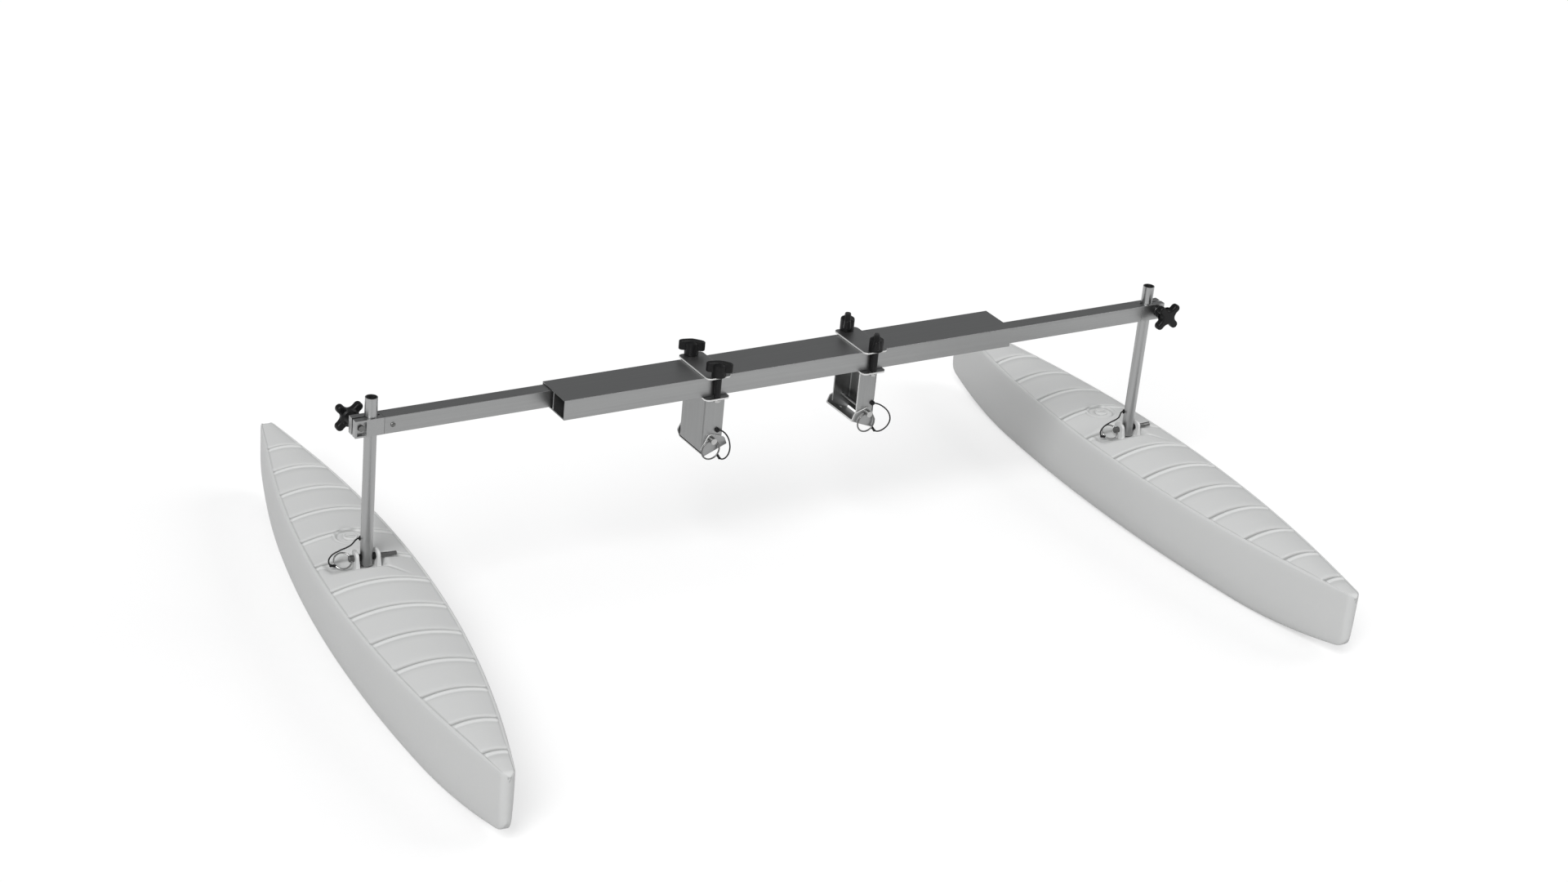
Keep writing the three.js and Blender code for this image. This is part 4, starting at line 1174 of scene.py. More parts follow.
@dataclass
class DeckPin(PullPin):
    """The pin that joins a bracket to its deck plate."""

    kind: str = "deck"
    host: str = "bracket"
    ring_finish: Finish = DULL_STEEL
    start: Point = (0, -0.0459, 0)
    tip: Point = (0, 0.054, 0)
    ring_swing: float = math.radians(12)
    bracket_face: float = -0.0436
    loop_width: dict[Side, float] = field(default_factory=lambda: {Side.LEFT: 0.9, Side.RIGHT: 1.35})
    route: tuple[Point, ...] = (
        (0.011, -0.0453, 0.017), (0.0145, -0.0458, 0.0168), (0.019, -0.0466, 0.0154),
        (0.024, -0.0472, 0.0122), (0.029, -0.048, 0.0074), (0.0334, -0.0487, 0.0016),
        (0.0368, -0.0492, -0.005), (0.039, -0.0496, -0.012), (0.04, -0.05, -0.0192),
        (0.0392, -0.0503, -0.0262), (0.0366, -0.0506, -0.0324), (0.0322, -0.0508, -0.0372),
        (0.0268, -0.0509, -0.0398), (0.021, -0.051, -0.0396), (0.016, -0.051, -0.0366),
        (0.0126, -0.051, -0.0318),
    )

    def place(self) -> Matrix:
        """Where the pin's own frame stands."""
        return self.layout.deck_pin(self.side)

    def ring_plane(self) -> tuple[Vector, Vector]:
        """From the pin to the ring's middle, and the other direction in the ring's plane."""
        swing, level = math.sin(self.ring_swing), math.cos(self.ring_swing)
        return Vector((-swing, 0, -level)), Vector((level, 0, -swing))

    def button_seat(self, first: Vector) -> tuple[Vector, Vector]:
        """The way that the lanyard's button looks, and the middle of its flat side."""
        return -STERNWARD, Vector((first.x, self.bracket_face, first.z))

    def points(self) -> list[Vector]:
        """The lanyard's points, with its loop as wide as on this side.

        Returns:
            The points in the pin's own frame.
        """
        start, last = self.route[0][0], len(self.route) - 1
        grown = self.loop_width[self.side] - 1
        points = []
        for place, (x, y, z) in enumerate(self.route):
            points.append(Vector((x + (x - start) * grown * math.sin(math.pi * place / last), y, z)))
        return points


@dataclass
class FloatPin(PullPin):
    """The pin that joins a post to its float."""

    kind: str = "float"
    host: str = "post"
    pin_finish: Finish = DULL_STEEL
    start: Point = (-0.0224, 0, 0)
    tip: Point = (0.055, 0, 0)
    ring_radius: float = 0.0156
    ring_droop: float = math.radians(8)
    ring_roll: float = math.radians(35)
    knurls: int = 6
    post_radius: float = 0.0111
    route: tuple[Point, ...] = (
        (-0.0109, 0.0072, 0.0345), (-0.0152, 0.006, 0.0342), (-0.0205, 0.0022, 0.033),
        (-0.0256, -0.0024, 0.0314), (-0.0306, -0.0056, 0.0296), (-0.0365, -0.0065, 0.0273),
        (-0.0424, -0.0058, 0.0248), (-0.0476, -0.0053, 0.0229), (-0.0524, -0.0048, 0.0205),
        (-0.0568, -0.0044, 0.0186), (-0.0604, -0.004, 0.0163), (-0.0638, -0.0037, 0.0136),
        (-0.0662, -0.0034, 0.0104), (-0.068, -0.0032, 0.007), (-0.0687, -0.0031, 0.0033),
        (-0.0685, -0.0031, 0.0002), (-0.0673, -0.0032, -0.0029), (-0.0649, -0.0034, -0.0054),
        (-0.062, -0.0038, -0.0069), (-0.0593, -0.004, -0.0074),
    )

    def place(self) -> Matrix:
        """Where the pin's own frame stands."""
        return self.layout.float_pin(self.side)

    def ring_plane(self) -> tuple[Vector, Vector]:
        """From the pin to the ring's middle, and the other direction in the ring's plane."""
        outward = Vector((-math.cos(self.ring_droop), 0, -math.sin(self.ring_droop)))
        return outward, Matrix.Rotation(-self.ring_roll, 3, outward) @ STERNWARD

    def button_seat(self, first: Vector) -> tuple[Vector, Vector]:
        """The way that the lanyard's button looks, and the middle of its flat side."""
        outward = Vector((first.x, first.y, 0)).normalized()
        return outward, outward * (self.post_radius - FIT_GAP) + Vector((0, 0, first.z))


# Beam and arms


@dataclass
class Beam:
    """The centre tube with the guides in its mouths."""

    edge_break: float = 0.0007

    def build(self) -> None:
        """Builds the tube, its guides and its liners."""
        named = [("center_extrusion", "center_tube", EXTRUDED)]
        for side in Side:
            named.append((f"{side.word}_guide_block", f"{side.word}_arm_guide", BLACK_PLASTIC))
            named.append((f"{side.word}_liner_strip", f"{side.word}_arm_liner", BLACK_PLASTIC))
        for name, node, finish in named:
            make_piece(name, "beam", finish, soften(cad_copy(node), self.edge_break), nodes=(node,))


@dataclass
class Arm(Assembly):
    """An arm with its split clamp, its bolt and its star knob."""

    width: float = 0.0285
    tube_edge: float = 0.0006
    clamp_edge: float = 0.0007
    bolt_outboard: float = 0.022
    bolt_radius: float = 0.003
    bolt_length: float = 0.0445
    head: tuple[float, float] = (0.006, 0.004)
    head_edge: float = 0.0005
    pocket_depth: float = 0.006
    washer: tuple[float, float] = (0.009, 0.0015)
    washer_edge: float = 0.0003
    rivet_inboard: float = 0.035
    rivet: Outline = (
        (0, 0.0024), (0.0018, 0.0022), (0.0034, 0.0015), (0.0044, 0.0006), (0.0046, 0),
        (0.0024, 0), (0.0024, -0.011), (0, -0.011),
    )
    hub: tuple[float, float] = (0.012, 0.018)
    star_thickness: float = 0.015
    star_round: float = 0.0045
    lobes: int = 4
    lobe_centre: float = 0.0235
    lobe_radius: float = 0.0075
    lobe_steps: int = 21
    valley_radius: float = 0.008
    valley_steps: int = 15
    cap: Outline = (
        (0, -0.0006), (0.0068, -0.0006), (0.0074, -0.0012), (0.0086, -0.0012), (0.0092, -0.0004),
        (0.0092, -0.003), (0, -0.003),
    )

    def build(self) -> None:
        """Builds every piece of the arm."""
        place = self.layout.arm(self.side)
        tube = soften(self.cad("arm_tube"), self.tube_edge)
        clamp = soften(self.cad("post_clamp"), self.clamp_edge)
        self.fit("arm_extrusion", "arm", EXTRUDED, tube, None, "arm_tube")
        self.fit("clamp_block", "arm", MACHINED, clamp, None, "post_clamp")
        self.fit("rivet_head", "arm", DULL_STEEL, self.rivet_mesh(), place, "rivet")
        self.fit("hex_bolt", "arm", DULL_STEEL, self.bolt_mesh(), place, "clamp_bolt")
        self.fit("bolt_washer", "arm", STAINLESS, self.washer_mesh(), place, "clamp_washer")
        self.fit("star_grip", "star_knob", BLACK_PLASTIC, self.star_mesh(), place, "star_knob")

    def rivet_mesh(self) -> Mesh:
        """The domed rivet in the face on the pocket's side."""
        seat = Vector((-self.rivet_inboard, self.width / 2 + FIT_GAP, 0))
        return stood(lathe(self.rivet, 28), STERNWARD, seat)

    def bolt_mesh(self) -> Mesh:
        """The clamp's bolt with its head in the pocket.

        Returns:
            The bolt in the arm's own frame.
        """
        radius, height = self.head
        shank = (self.bolt_radius, height / 2, -self.bolt_length)
        seat = self.width / 2 - self.pocket_depth + FIT_GAP
        bm = hex_bolt((radius, height, height / 2), self.head_edge, shank)
        return stood(bm, STERNWARD, (self.bolt_outboard, seat, 0))

    def washer_mesh(self) -> Mesh:
        """The washer under the star knob.

        Returns:
            The washer in the arm's own frame.
        """
        radius, thickness = self.washer
        bm = sleeve(self.bolt_radius + FIT_GAP, radius, 0, thickness, 40, self.washer_edge)
        return stood(bm, -STERNWARD, (self.bolt_outboard, -self.width / 2 - FIT_GAP, 0))

    def star_outline(self) -> list[Vector]:
        """The star's outline: a round lobe in each quarter and a curved valley after it.

        Returns:
            The points in a plane.
        """
        step = FULL_TURN / self.lobes
        points = []
        for lobe in range(self.lobes):
            turn = Matrix.Rotation((lobe + 0.5) * step, 2)
            following = Matrix.Rotation((lobe + 1.5) * step, 2)
            for angle in np.linspace(-QUARTER_TURN, QUARTER_TURN, self.lobe_steps):
                reach = Vector((math.cos(angle), math.sin(angle))) * self.lobe_radius
                points.append(turn @ (reach + Vector((self.lobe_centre, 0))))
            shore = following @ Vector((self.lobe_centre, -self.lobe_radius))
            deep = Matrix.Rotation((lobe + 1) * step, 2) @ Vector((self.valley_radius, 0))
            side = points[-1]
            for share in np.linspace(0, 1, self.valley_steps)[1:-1]:
                points.append(side * (1 - share) ** 2 + deep * 2 * share * (1 - share) + shore * share**2)
        return points

    def star_mesh(self) -> Mesh:
        """The four-lobed knob with its hub and cap, rounded all over.

        Returns:
            The knob in the arm's own frame.
        """
        bm = bmesh.new()
        bm.faces.new([bm.verts.new((*point, 0)) for point in self.star_outline()])
        extrude_up(bm, bm.faces[:], self.star_thickness)
        bmesh.ops.recalc_face_normals(bm, faces=bm.faces[:])
        rims = [edge for edge in bm.edges if abs(edge.verts[0].co.z - edge.verts[1].co.z) < MERGE_DISTANCE]
        bevel(bm, rims, self.star_round, 6)
        radius, length = self.hub
        bm.transform(Matrix.Translation((0, 0, length)))
        top = length + 0.001
        hub = lathe(
            [
                (0, 0), (radius * 0.86, 0), (radius * 0.92, 0.0008), (radius, length * 0.5),
                (radius * 1.12, length * 0.86), (radius * 1.45, top), (0, top),
            ],
            48,
        )
        crest = length + self.star_thickness
        cap = lathe([(reach, crest + height) for reach, height in self.cap], 40)
        base = -self.width / 2 - self.washer[1] - 2 * FIT_GAP
        return stood(joined(bm, hub, cap), -STERNWARD, (self.bolt_outboard, base, 0))


# Posts and floats


@dataclass
class Post(Assembly):
    """A post with the black bushes at its foot, which also stand for the shade in the gaps between the post
    and its ears.
    """

    radius: float = 0.0111
    wall: float = 0.002
    foot: float = 0.014
    top: float = 0.3064
    edge: float = 0.0005
    bush_radius: float = 0.0065
    bush_hole: float = 0.0043
    bush_span: tuple[float, float] = (0.0114, 0.0163)
    bush_edge: float = 0.0006

    def build(self) -> None:
        """Builds the tube and its two bushes."""
        place = self.layout.float_pin(self.side)
        tube = sleeve(self.radius - self.wall, self.radius, -self.foot, self.top, 64, self.edge)
        self.fit("post_tube", "post", POST_METAL, tube, place, "post")
        # The black bushes are spacers on the pin, and they also stand for the shade in the gaps beside the
        # post.
        for way, end in ((-1, "head"), (1, "tip")):
            bush = sleeve(self.bush_hole, self.bush_radius, *self.bush_span, 40, self.bush_edge)
            stood(bush, RIGHTWARD * way)
            self.fit(f"bush_{end}", "post", BLACK_PLASTIC, bush, place, f"post_bush_{end}")


def eased(value: np.ndarray) -> np.ndarray:
    """A smooth step from 0 to 1, by where each point stands across it."""
    held = np.clip(value, 0, 1)
    return held * held * (3 - 2 * held)


def lower_of(one: np.ndarray, other: np.ndarray, blend: float) -> np.ndarray:
    """The lower of two heights, with the crease between them rounded over a width."""
    share = np.clip(0.5 + 0.5 * (other - one) / blend, 0, 1)
    return other + (one - other) * share - blend * share * (1 - share)


@dataclass
class FloatHull(Assembly):
    """A moulded float with a crowned, grooved deck, two ears for the post and a drain plug."""

    length: float = 1.3
    half_breadth: float = 0.095
    stem_half_breadth: float = 0.01
    depth: float = 0.139
    crown: float = 0.0175
    ahead: float = 0.0533
    edge_drop: float = 0.0205
    stem_rise: float = 0.033
    stem_rise_run: float = 0.28
    stem_corner: float = 0.022
    stem_round: float = 0.01
    stem_tuck: float = 0.008
    groove_first: float = -0.579
    groove_pitch: float = 0.093
    groove_count: int = 13
    groove_half_width: float = 0.0045
    groove_depth: float = 0.003
    bead_height: float = 0.0032
    bead_half_width: float = 0.0056
    ridge_height: float = 0.0022
    ridge_width: float = 0.0085
    trough_depth: float = 0.015
    trough_half_width: float = 0.03
    trough_span: tuple[float, float] = (-0.072, 0.03)
    trough_fade: float = 0.014
    trough_blend: float = 0.008
    crease_depth: float = 0.0024
    crease_half_width: float = 0.006
    crease_from: tuple[float, float] = (0.014, -0.016)
    crease_to: tuple[float, float] = (0.064, -0.066)
    dish_behind: float = 0.088
    dish_radius: float = 0.025
    dish_depth: float = 0.004
    dish_lip: float = 0.006
    ear_inside: float = 0.0166
    ear_thickness: float = 0.0055
    ear_length: float = 0.028
    ear_top: float = 0.013
    ear_foot: float = 0.0215
    ear_edge: float = 0.0012
    plug: tuple[float, float] = (0.013, 0.004)
    plug_rim: float = 0.0092
    plug_slot: tuple[float, float] = (0.0015, 0.0018)
    side_shares: Outline = (
        (0, 0), (0.24, 0), (0.47, 0.002), (0.62, 0.012), (0.72, 0.035), (0.8, 0.08), (0.86, 0.15),
        (0.91, 0.25), (0.95, 0.36), (0.985, 0.58), (1, 0.85), (0.997, 0.94), (0.985, 1),
    )
    side_stretch: float = 1.46

    def build(self) -> None:
        """Builds the hull and its drain plug."""
        place = self.layout.float_pin(self.side)
        hull = joined(self.hull_mesh(), self.ear_mesh(-1), self.ear_mesh(1))
        self.fit("hull", "float", HULL_PLASTIC, hull, place, "float", sharp=math.radians(60))
        self.fit("drain_cap", "float", HULL_PLASTIC, self.plug_mesh(), place, "drain_plug")

    def stations(self) -> np.ndarray:
        """Places along the hull, from its middle, close where the deck has detail.

        Returns:
            The places, from one end to the other.
        """
        end = self.length / 2
        places = list(np.linspace(-end + 0.03, end - 0.03, 150))
        for short in (0, 0.0003, 0.0012, 0.0026, 0.0045, 0.007, 0.01, 0.0135, 0.0175, 0.022):
            places += [end - short, short - end]
        for groove in range(self.groove_count):
            middle = self.groove_first + groove * self.groove_pitch
            places += list(middle + np.linspace(-3.6, 1.15, 22) * self.groove_half_width)
        places += list(self.ahead + np.linspace(-0.07, 0.04, 60))
        places += list(self.ahead + self.dish_behind + np.linspace(-0.031, 0.031, 33))
        kept = []
        for place in sorted(places):
            if not kept or place - kept[-1] > 0.0011 or abs(place) > end - 0.006:
                kept.append(place)
        return np.array(kept)

    def rounding(self, y: np.ndarray) -> np.ndarray:
        """How much of the breadth is left along the hull, where its stems are rounded."""
        short = np.clip(1 - (self.length / 2 - np.abs(y)) / self.stem_round, 0, 1)
        return np.sqrt(1 - short**2)

    def half_breadth_at(self, y: np.ndarray) -> np.ndarray:
        """Half the hull's breadth along it.

        Args:
            y: Places along the hull, from its middle.

        Returns:
            The half breadths there.
        """
        along = np.minimum(1, np.abs(y) / (self.length / 2))
        breadth = self.stem_half_breadth + (self.half_breadth - self.stem_half_breadth) * (1 - along**2)
        return breadth * self.rounding(y)

    def keel_at(self, y: np.ndarray) -> np.ndarray:
        """The keel's height along the hull.

        Args:
            y: Places along the hull, from its middle.

        Returns:
            The heights there, from the deck's edge.
        """
        to_end = self.length / 2 - np.abs(y)
        sweep = np.maximum(0, 1 - to_end / self.stem_rise_run) ** 2
        corner = np.maximum(0, self.stem_corner - to_end)
        arc = self.stem_corner - np.sqrt(self.stem_corner**2 - corner**2)
        return -self.depth + self.stem_rise * sweep + arc

    def deck_at(self, x: np.ndarray, y: np.ndarray, breadth: np.ndarray) -> np.ndarray:
        """The deck's height, with the ridge, the grooves, the trough and the dish.

        Args:
            x: Places across the hull.
            y: Places along it, from its middle.
            breadth: Half the breadth there.

        Returns:
            The heights from the deck's edge.
        """
        share = np.clip(np.abs(x) / np.maximum(breadth, 1e-5), 0, 1)
        top = self.crown * breadth / self.half_breadth * (1 - share**2)
        inset = (breadth - np.abs(x)) / np.minimum(1, breadth / 0.035 + 1e-3)
        ridge = self.ridge_height * np.sin(np.pi * np.clip(inset / self.ridge_width, 0, 1)) ** 2
        groove = self.ribs(y, self.groove_half_width)
        bead = self.ribs(y + self.groove_half_width + self.bead_half_width, self.bead_half_width)
        ribbed = (self.groove_depth * groove - self.bead_height * bead) * self.inner_deck(inset)
        return self.with_dish(self.with_trough(top + ridge - ribbed, x, y), x, y)

    def inner_deck(self, inset: np.ndarray) -> np.ndarray:
        """How fully the ribs show, from 0 on the deck's ridge to 1 inside it."""
        return eased((inset - 0.6 * self.ridge_width) / (0.7 * self.ridge_width))

    def ribs(self, y: np.ndarray, half_width: float) -> np.ndarray:
        """Round ribs across the deck, one at each groove's place.

        Args:
            y: Places along the hull, from its middle.
            half_width: Half a rib's width.

        Returns:
            How much rib there is, from 0 to 1.
        """
        row = np.zeros_like(y)
        for count in range(self.groove_count):
            off = np.abs(y - self.groove_first - count * self.groove_pitch) / half_width
            row = np.maximum(row, np.cos(np.clip(off, 0, 1) * QUARTER_TURN) ** 1.3 * (off < 1))
        return row

    def with_trough(self, height: np.ndarray, x: np.ndarray, y: np.ndarray) -> np.ndarray:
        """Lowers the deck round the post's foot and under its pin and ring.

        Args:
            height: The deck's heights.
            x: Places across the hull.
            y: Places along it, from its middle.

        Returns:
            The new heights.
        """
        across = y - self.ahead
        low, high = self.trough_span
        shown = 1 - eased(np.maximum(low - x, x - high) / self.trough_fade + 0.5)
        bowl = self.crown - self.trough_depth * (1 - (across / self.trough_half_width) ** 2)
        hollow = lower_of(height, bowl, self.trough_blend)
        return height + (hollow - height) * shown - self.crease_depth * self.crease(x, across)

    def crease(self, x: np.ndarray, across: np.ndarray) -> np.ndarray:
        """The soft fold in front of the post's foot.

        Args:
            x: Places across the hull.
            across: Places along it, from the post.

        Returns:
            How deep the fold is, from 0 to 1.
        """
        start, end = np.array(self.crease_from), np.array(self.crease_to)
        run = end - start
        along = ((x - start[0]) * run[0] + (across - start[1]) * run[1]) / run.dot(run)
        held = np.clip(along, 0, 1)
        off = np.hypot(x - start[0] - held * run[0], across - start[1] - held * run[1])
        return (1 - eased(off / self.crease_half_width)) * (1 - held**2)

    def with_dish(self, height: np.ndarray, x: np.ndarray, y: np.ndarray) -> np.ndarray:
        """Lowers the deck round the drain plug, behind a low lip.

        Args:
            height: The deck's heights.
            x: Places across the hull.
            y: Places along it, from its middle.

        Returns:
            The new heights.
        """
        reach = np.hypot(x, y - self.ahead - self.dish_behind)
        floor = self.crown - self.dish_depth + np.clip(reach - self.dish_radius, 0, None) * 1.6
        flat = eased((self.dish_radius + self.dish_lip - reach) / (self.dish_lip / 2))
        return lower_of(height * (1 - flat) + self.crown * flat, floor, 0.0012)

    def columns(self) -> np.ndarray:
        """Places round the hull, from the keel over the deck and back to the keel.

        Returns:
            For each its half of the hull, 1 on the deck or 0 on the side, and its share of the way.
        """
        half = [(0, share) for share in np.linspace(0, 1, 30)]
        half += [(1, 0.985 - step) for step in (0.008, 0.018, 0.03, 0.044, 0.058, 0.072, 0.086, 0.1, 0.115)]
        half += [(1, share) for share in (*np.linspace(0.85, 0.36, 17), *np.linspace(0.338, 0, 17))]
        return np.array([(1, *place) for place in half] + [(-1, *place) for place in half[-2::-1]])

    def side_curve(self, shares: np.ndarray) -> tuple[np.ndarray, np.ndarray]:
        """Points on the hull's side.

        Args:
            shares: How far round from the keel to the deck's edge, from 0 to 1.

        Returns:
            Their shares of the breadth, and of the depth.
        """
        close = smooth_route([Vector((x, z * self.side_stretch, 0)) for x, z in self.side_shares], 6)
        runs = np.cumsum([0.0, *spans(close)])
        at = shares * runs[-1]
        wide = np.interp(at, runs, [point.x for point in close])
        return wide, np.interp(at, runs, [point.y for point in close]) / self.side_stretch

    def hull_mesh(self) -> Mesh:
        """The hull's closed skin: a grid that is wrapped round its stations.

        Returns:
            The skin in the float's own frame.
        """
        rows, ring = self.stations(), self.columns()
        bm = bmesh.new()
        bmesh.ops.create_grid(bm, x_segments=len(ring) - 1, y_segments=len(rows) - 1, size=1)
        where = (np.array([vert.co[:2] for vert in bm.verts]) + 1) / 2
        y = rows[np.rint(where[:, 1] * (len(rows) - 1)).astype(int)]
        way, on_deck, share = ring[np.rint(where[:, 0] * (len(ring) - 1)).astype(int)].T
        wide, up = self.side_curve(share)
        breadth, keel = self.half_breadth_at(y), self.keel_at(y)
        x = way * np.where(on_deck, share, wide) * breadth
        tuck = (1 - self.rounding(y)) * self.stem_tuck
        side_z = keel + up * (-tuck - keel)
        deck_z = self.deck_at(x, y, np.maximum(breadth, 1e-4)) - tuck
        z = np.where(on_deck, deck_z, side_z) - self.edge_drop
        # How much painted shade darkens each point in the deck's grooves.
        shade = self.ribs(y, self.groove_half_width) * self.inner_deck(breadth - np.abs(x)) * on_deck
        depth = bm.verts.layers.float.new(GROOVE_SHADE_MASK)
        for vert, place, dark in zip(bm.verts, np.stack([x, y - self.ahead, z], axis=1), shade):
            vert.co = place
            vert[depth] = dark
        bmesh.ops.remove_doubles(bm, verts=bm.verts[:], dist=0.00002)
        bmesh.ops.recalc_face_normals(bm, faces=bm.faces[:])
        return bm

    def ear_mesh(self, way: int) -> Mesh:
        """One of the two ears that the pin passes through.

        Args:
            way: The side of the post that it stands on, as -1 or 1.

        Returns:
            The ear in the float's own frame.
        """
        height = self.ear_top + self.ear_foot
        middle = (way * (self.ear_inside + self.ear_thickness / 2), 0, self.ear_top - height / 2)
        bm = block((self.ear_thickness, self.ear_length, height), middle)
        upper = [edge for edge in edges_along(bm, RIGHTWARD) if edge.verts[0].co.z > 0]
        bevel(bm, upper, self.ear_length / 2 - 0.0045, 8)
        soften(bm, self.ear_edge, 3)
        for vert in bm.verts:
            low = max(0.0, (-0.008 - vert.co.z) / 0.013)
            vert.co.y *= 1 + 0.3 * low**2
            vert.co.x += way * math.copysign(0.0022 * low**2, abs(vert.co.x) - abs(middle[0]))
        return bm

    def plug_mesh(self) -> Mesh:
        """The drain plug with a slot across it.

        Returns:
            The plug in the float's own frame.
        """
        radius, top = self.plug
        half, sunk = self.plug_slot
        outline = [(0, 0), (radius, 0), (radius, top * 0.7), (radius - 0.0012, top), (0.0098, top)]
        bm = lathe([*outline, (self.plug_rim, top - 0.0006), (0, top - 0.0006)], 56)
        for edge in (-half, half):
            cut_across(bm, STERNWARD, edge)
        slot = []
        for face in bm.faces:
            middle = face.calc_center_median()
            if face.normal.z > 0.9 and abs(middle.y) < half and middle.xy.length < self.plug_rim:
                slot.append(face)
        extrude_up(bm, slot, -sunk)
        bmesh.ops.delete(bm, geom=slot, context="FACES_ONLY")
        soften(mended(bm), 0.0004, limit=math.radians(40))
        seat = self.crown - self.edge_drop - self.dish_depth + FIT_GAP
        bm.transform(Matrix.Translation((0, self.dish_behind, seat)))
        return bm


# Brackets


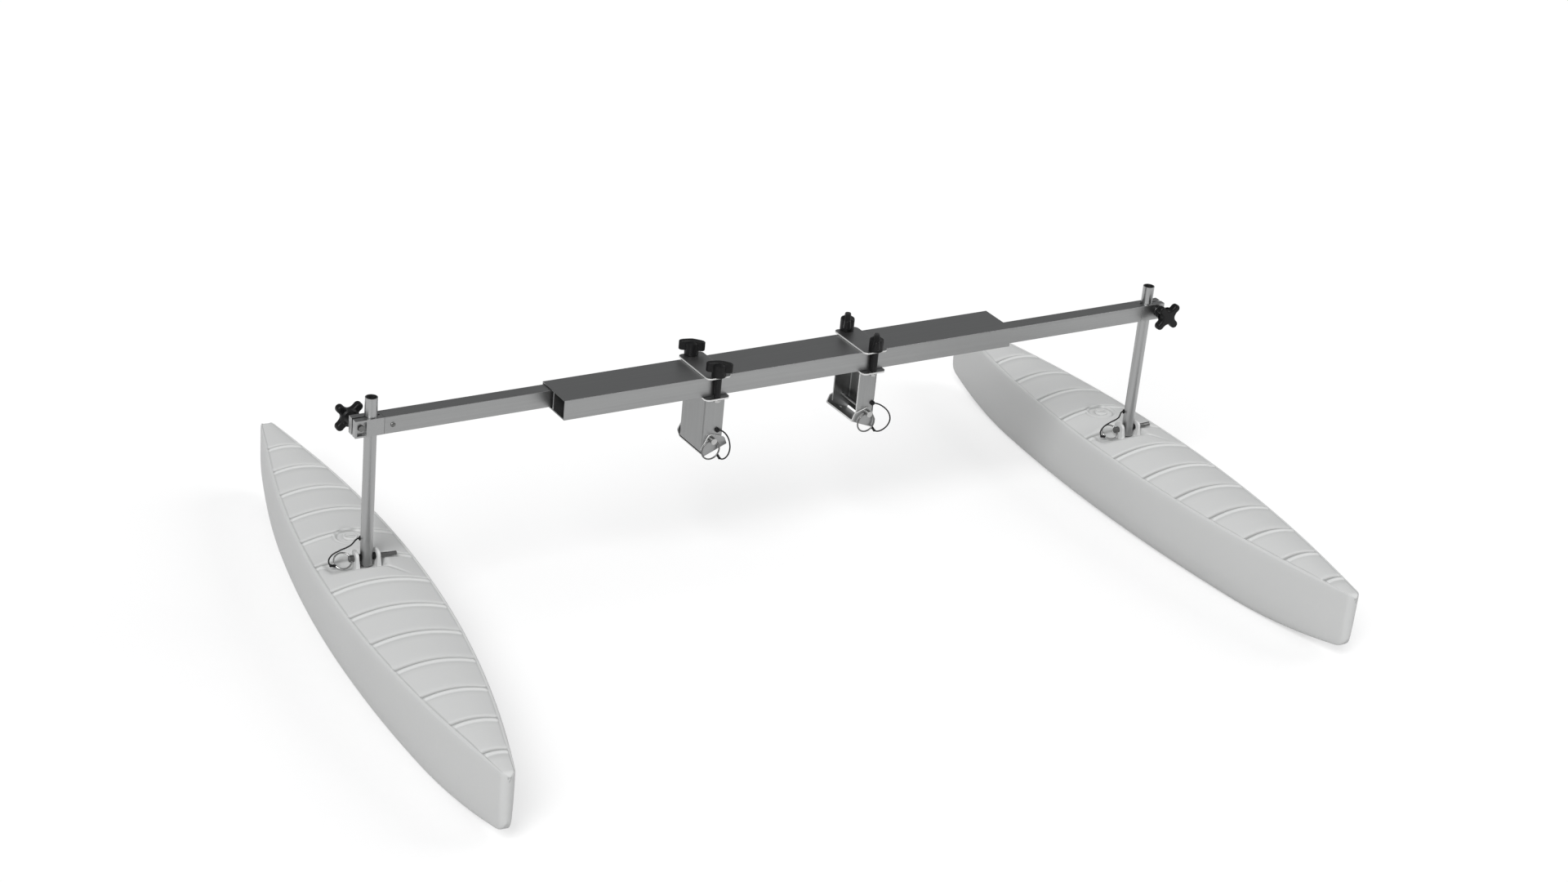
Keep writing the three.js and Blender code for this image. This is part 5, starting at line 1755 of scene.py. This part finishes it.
@dataclass
class Bracket(Assembly):
    """A folded bracket clamped to the beam by a top plate, two studs and two wing knobs."""

    flange_z: float = -0.02085
    plate_z: float = 0.02085
    thickness: float = 0.003
    cut_edge: float = 0.0004
    outer_bend: float = 0.0045
    inner_bend: float = 0.002
    least_fold: float = 0.05
    corner: tuple[float, float] = (0.016, 0.04)
    stud_offset: float = 0.0505
    stud_radius: float = 0.004
    stud_reach: float = 0.016
    stud_head: tuple[float, float] = (0.007, 0.005)
    head_edge: float = 0.0006
    sleeve_radius: float = 0.0062
    sleeve_edge: float = 0.0005
    wing_hub: tuple[float, float] = (0.0132, 0.0245)
    wing_hole: tuple[float, float] = (0.0043, 0.015)
    wing_lift: float = 0.009
    wing_size: Point = (0.048, 0.015, 0.02)
    wing_cuts: tuple[float, ...] = (-0.013, -0.006, 0, 0.006, 0.013)
    wing_droop: float = 0.0035
    wing_turns: dict[Side, float] = field(
        default_factory=lambda: {Side.LEFT: math.radians(-30), Side.RIGHT: math.radians(57)}
    )

    def build(self) -> None:
        """Builds every piece of the bracket."""
        place = self.layout.bracket(self.side)
        plate = soften(with_cut_edges(self.cad("top_plate"), self.thickness), self.cut_edge)
        self.fit("folded_bracket", "bracket", SHEET_METAL, self.folded_mesh(), None, "deck_bracket")
        self.fit("clamp_plate", "bracket", FLAT_SHEET, plate, None, "top_plate")
        for end in End:
            at = place @ Matrix.Translation((0, end.value * self.stud_offset, 0))
            word, knob = end.word, f"{end.word}_wing_knob"
            self.fit(f"{word}_hex_stud", "bracket", STAINLESS, self.stud_mesh(), at, f"{word}_stud")
            self.fit(f"{word}_spacer", "bracket", BLACK_PLASTIC, self.sleeve_mesh(), at, f"{word}_sleeve")
            self.fit(f"{word}_wing_grip", knob, BLACK_PLASTIC, self.wing_mesh(), at, knob)

    def folded_mesh(self) -> Mesh:
        """The bracket with rounded bends where its walls meet.

        Returns:
            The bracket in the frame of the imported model.
        """
        bm = with_cut_edges(self.cad("deck_bracket"), self.thickness)
        upright = edges_along(bm, UPWARD, self.least_fold)
        outer = [edge for edge in upright if edge.is_convex and self.on_corner(edge)]
        bevel(bm, outer, self.outer_bend, 6, bright=0)
        upright = edges_along(bm, UPWARD, self.least_fold)
        bevel(bm, [edge for edge in upright if not edge.is_convex], self.inner_bend, 4, bright=0)
        return soften(bm, self.cut_edge)

    def on_corner(self, edge: Edge) -> bool:
        """Whether an upright edge is at one of the bracket's outboard corners."""
        off = edge.verts[0].co - self.layout.bracket(self.side).translation
        return off.x * self.side.value > self.corner[0] and abs(off.y) > self.corner[1]

    def stud_mesh(self) -> Mesh:
        """A stud with a hexagonal head under the flange.

        Returns:
            The stud in its own frame.
        """
        radius, height = self.stud_head
        seat = self.flange_z - self.thickness / 2 - FIT_GAP
        top = self.plate_z + self.thickness / 2 + self.stud_reach
        shank = (self.stud_radius, seat - 0.001, top)
        return hex_bolt((radius, height, seat - height / 2), self.head_edge, shank)

    def sleeve_mesh(self) -> Mesh:
        """The black sleeve round a stud, between the flange and the top plate.

        Returns:
            The sleeve in the stud's own frame.
        """
        low = self.flange_z + self.thickness / 2 + FIT_GAP
        high = self.plate_z - self.thickness / 2 - FIT_GAP
        return sleeve(self.stud_radius + FIT_GAP, self.sleeve_radius, low, high, 40, self.sleeve_edge)

    def wing_mesh(self) -> Mesh:
        """A knob with a round hub and a bar across it that is highest in the middle.

        Returns:
            The knob in the stud's own frame.
        """
        radius, shoulder = self.wing_hub
        hole, bottom = self.wing_hole
        length, width, depth = self.wing_size
        low = self.wing_lift
        bm = block((length, width, depth), (0, 0, low + depth / 2))
        bevel(bm, edges_along(bm, UPWARD), width / 2 - 0.0008, 8)
        soften(bm, 0.002, 3)
        for cut in self.wing_cuts:
            cut_across(bm, RIGHTWARD, cut)
        for vert in bm.verts:
            lift = (vert.co.z - low) / depth
            vert.co.y *= 1 - 0.35 * max(0.0, (lift - 0.45) / 0.55) ** 2
            vert.co.z -= self.wing_droop * (abs(vert.co.x) / (length / 2)) ** 1.4 * lift
        top = low + depth * 0.98
        outline = [
            (hole, 0), (radius * 0.94, 0), (radius, 0.0008), (radius, shoulder * 0.86),
            (radius * 0.94, shoulder * 0.95), (radius * 0.8, shoulder), (radius * 0.3, top), (0, top),
            (0, bottom), (hole, bottom),
        ]
        joined(bm, lathe(outline, 48, closed=True))
        base = Matrix.Translation((0, 0, self.plate_z + self.thickness / 2 + FIT_GAP))
        bm.transform(base @ Matrix.Rotation(self.wing_turns[self.side], 4, "Z"))
        return bm


@dataclass
class DeckPlate(Assembly):
    """A folded plate with two lugs, which the deck carries."""

    slope: float = math.radians(22)
    thickness: float = 0.003
    bend: float = 0.0034
    cut_edge: float = 0.0004
    least_fold: float = 0.04
    fold_reach: float = 0.045
    fold_drop: float = 0.012

    def build(self) -> None:
        """Builds the plate."""
        bm = with_cut_edges(self.cad("deck_plate"), self.thickness)
        turn = self.side.value * self.slope
        fold = Vector((math.cos(turn), 0, -math.sin(turn)))
        bends = [edge for edge in edges_along(bm, fold, self.least_fold) if self.at_fold(edge)]
        bevel(bm, bends, self.bend, 5, bright=0)
        self.fit("deck_lugs", "deck_plate", FLAT_SHEET, soften(bm, self.cut_edge), None, "deck_plate")

    def at_fold(self, edge: Edge) -> bool:
        """Whether a long edge runs along the outside of a fold.

        Args:
            edge: The edge.

        Returns:
            True where it does.
        """
        middle = self.layout.deck_pin(self.side).translation
        low = min(vert.co.z for vert in edge.verts) < middle.z - self.fold_drop
        return edge.is_convex and low and abs(edge.verts[0].co.y - middle.y) > self.fold_reach


def main() -> None:
    """Builds the scene in order: the camera, the cords, and then everything that they hang from."""
    logging.basicConfig(level=logging.INFO, format="%(message)s")
    layout = Layout()
    Studio(layout).build()
    for side in Side:
        DeckPin(side, layout).build()
        FloatPin(side, layout).build()
    Beam().build()
    for side in Side:
        for assembly in (Arm, Post, FloatHull, Bracket, DeckPlate):
            assembly(side, layout).build()


if __name__ == "__main__":
    main()
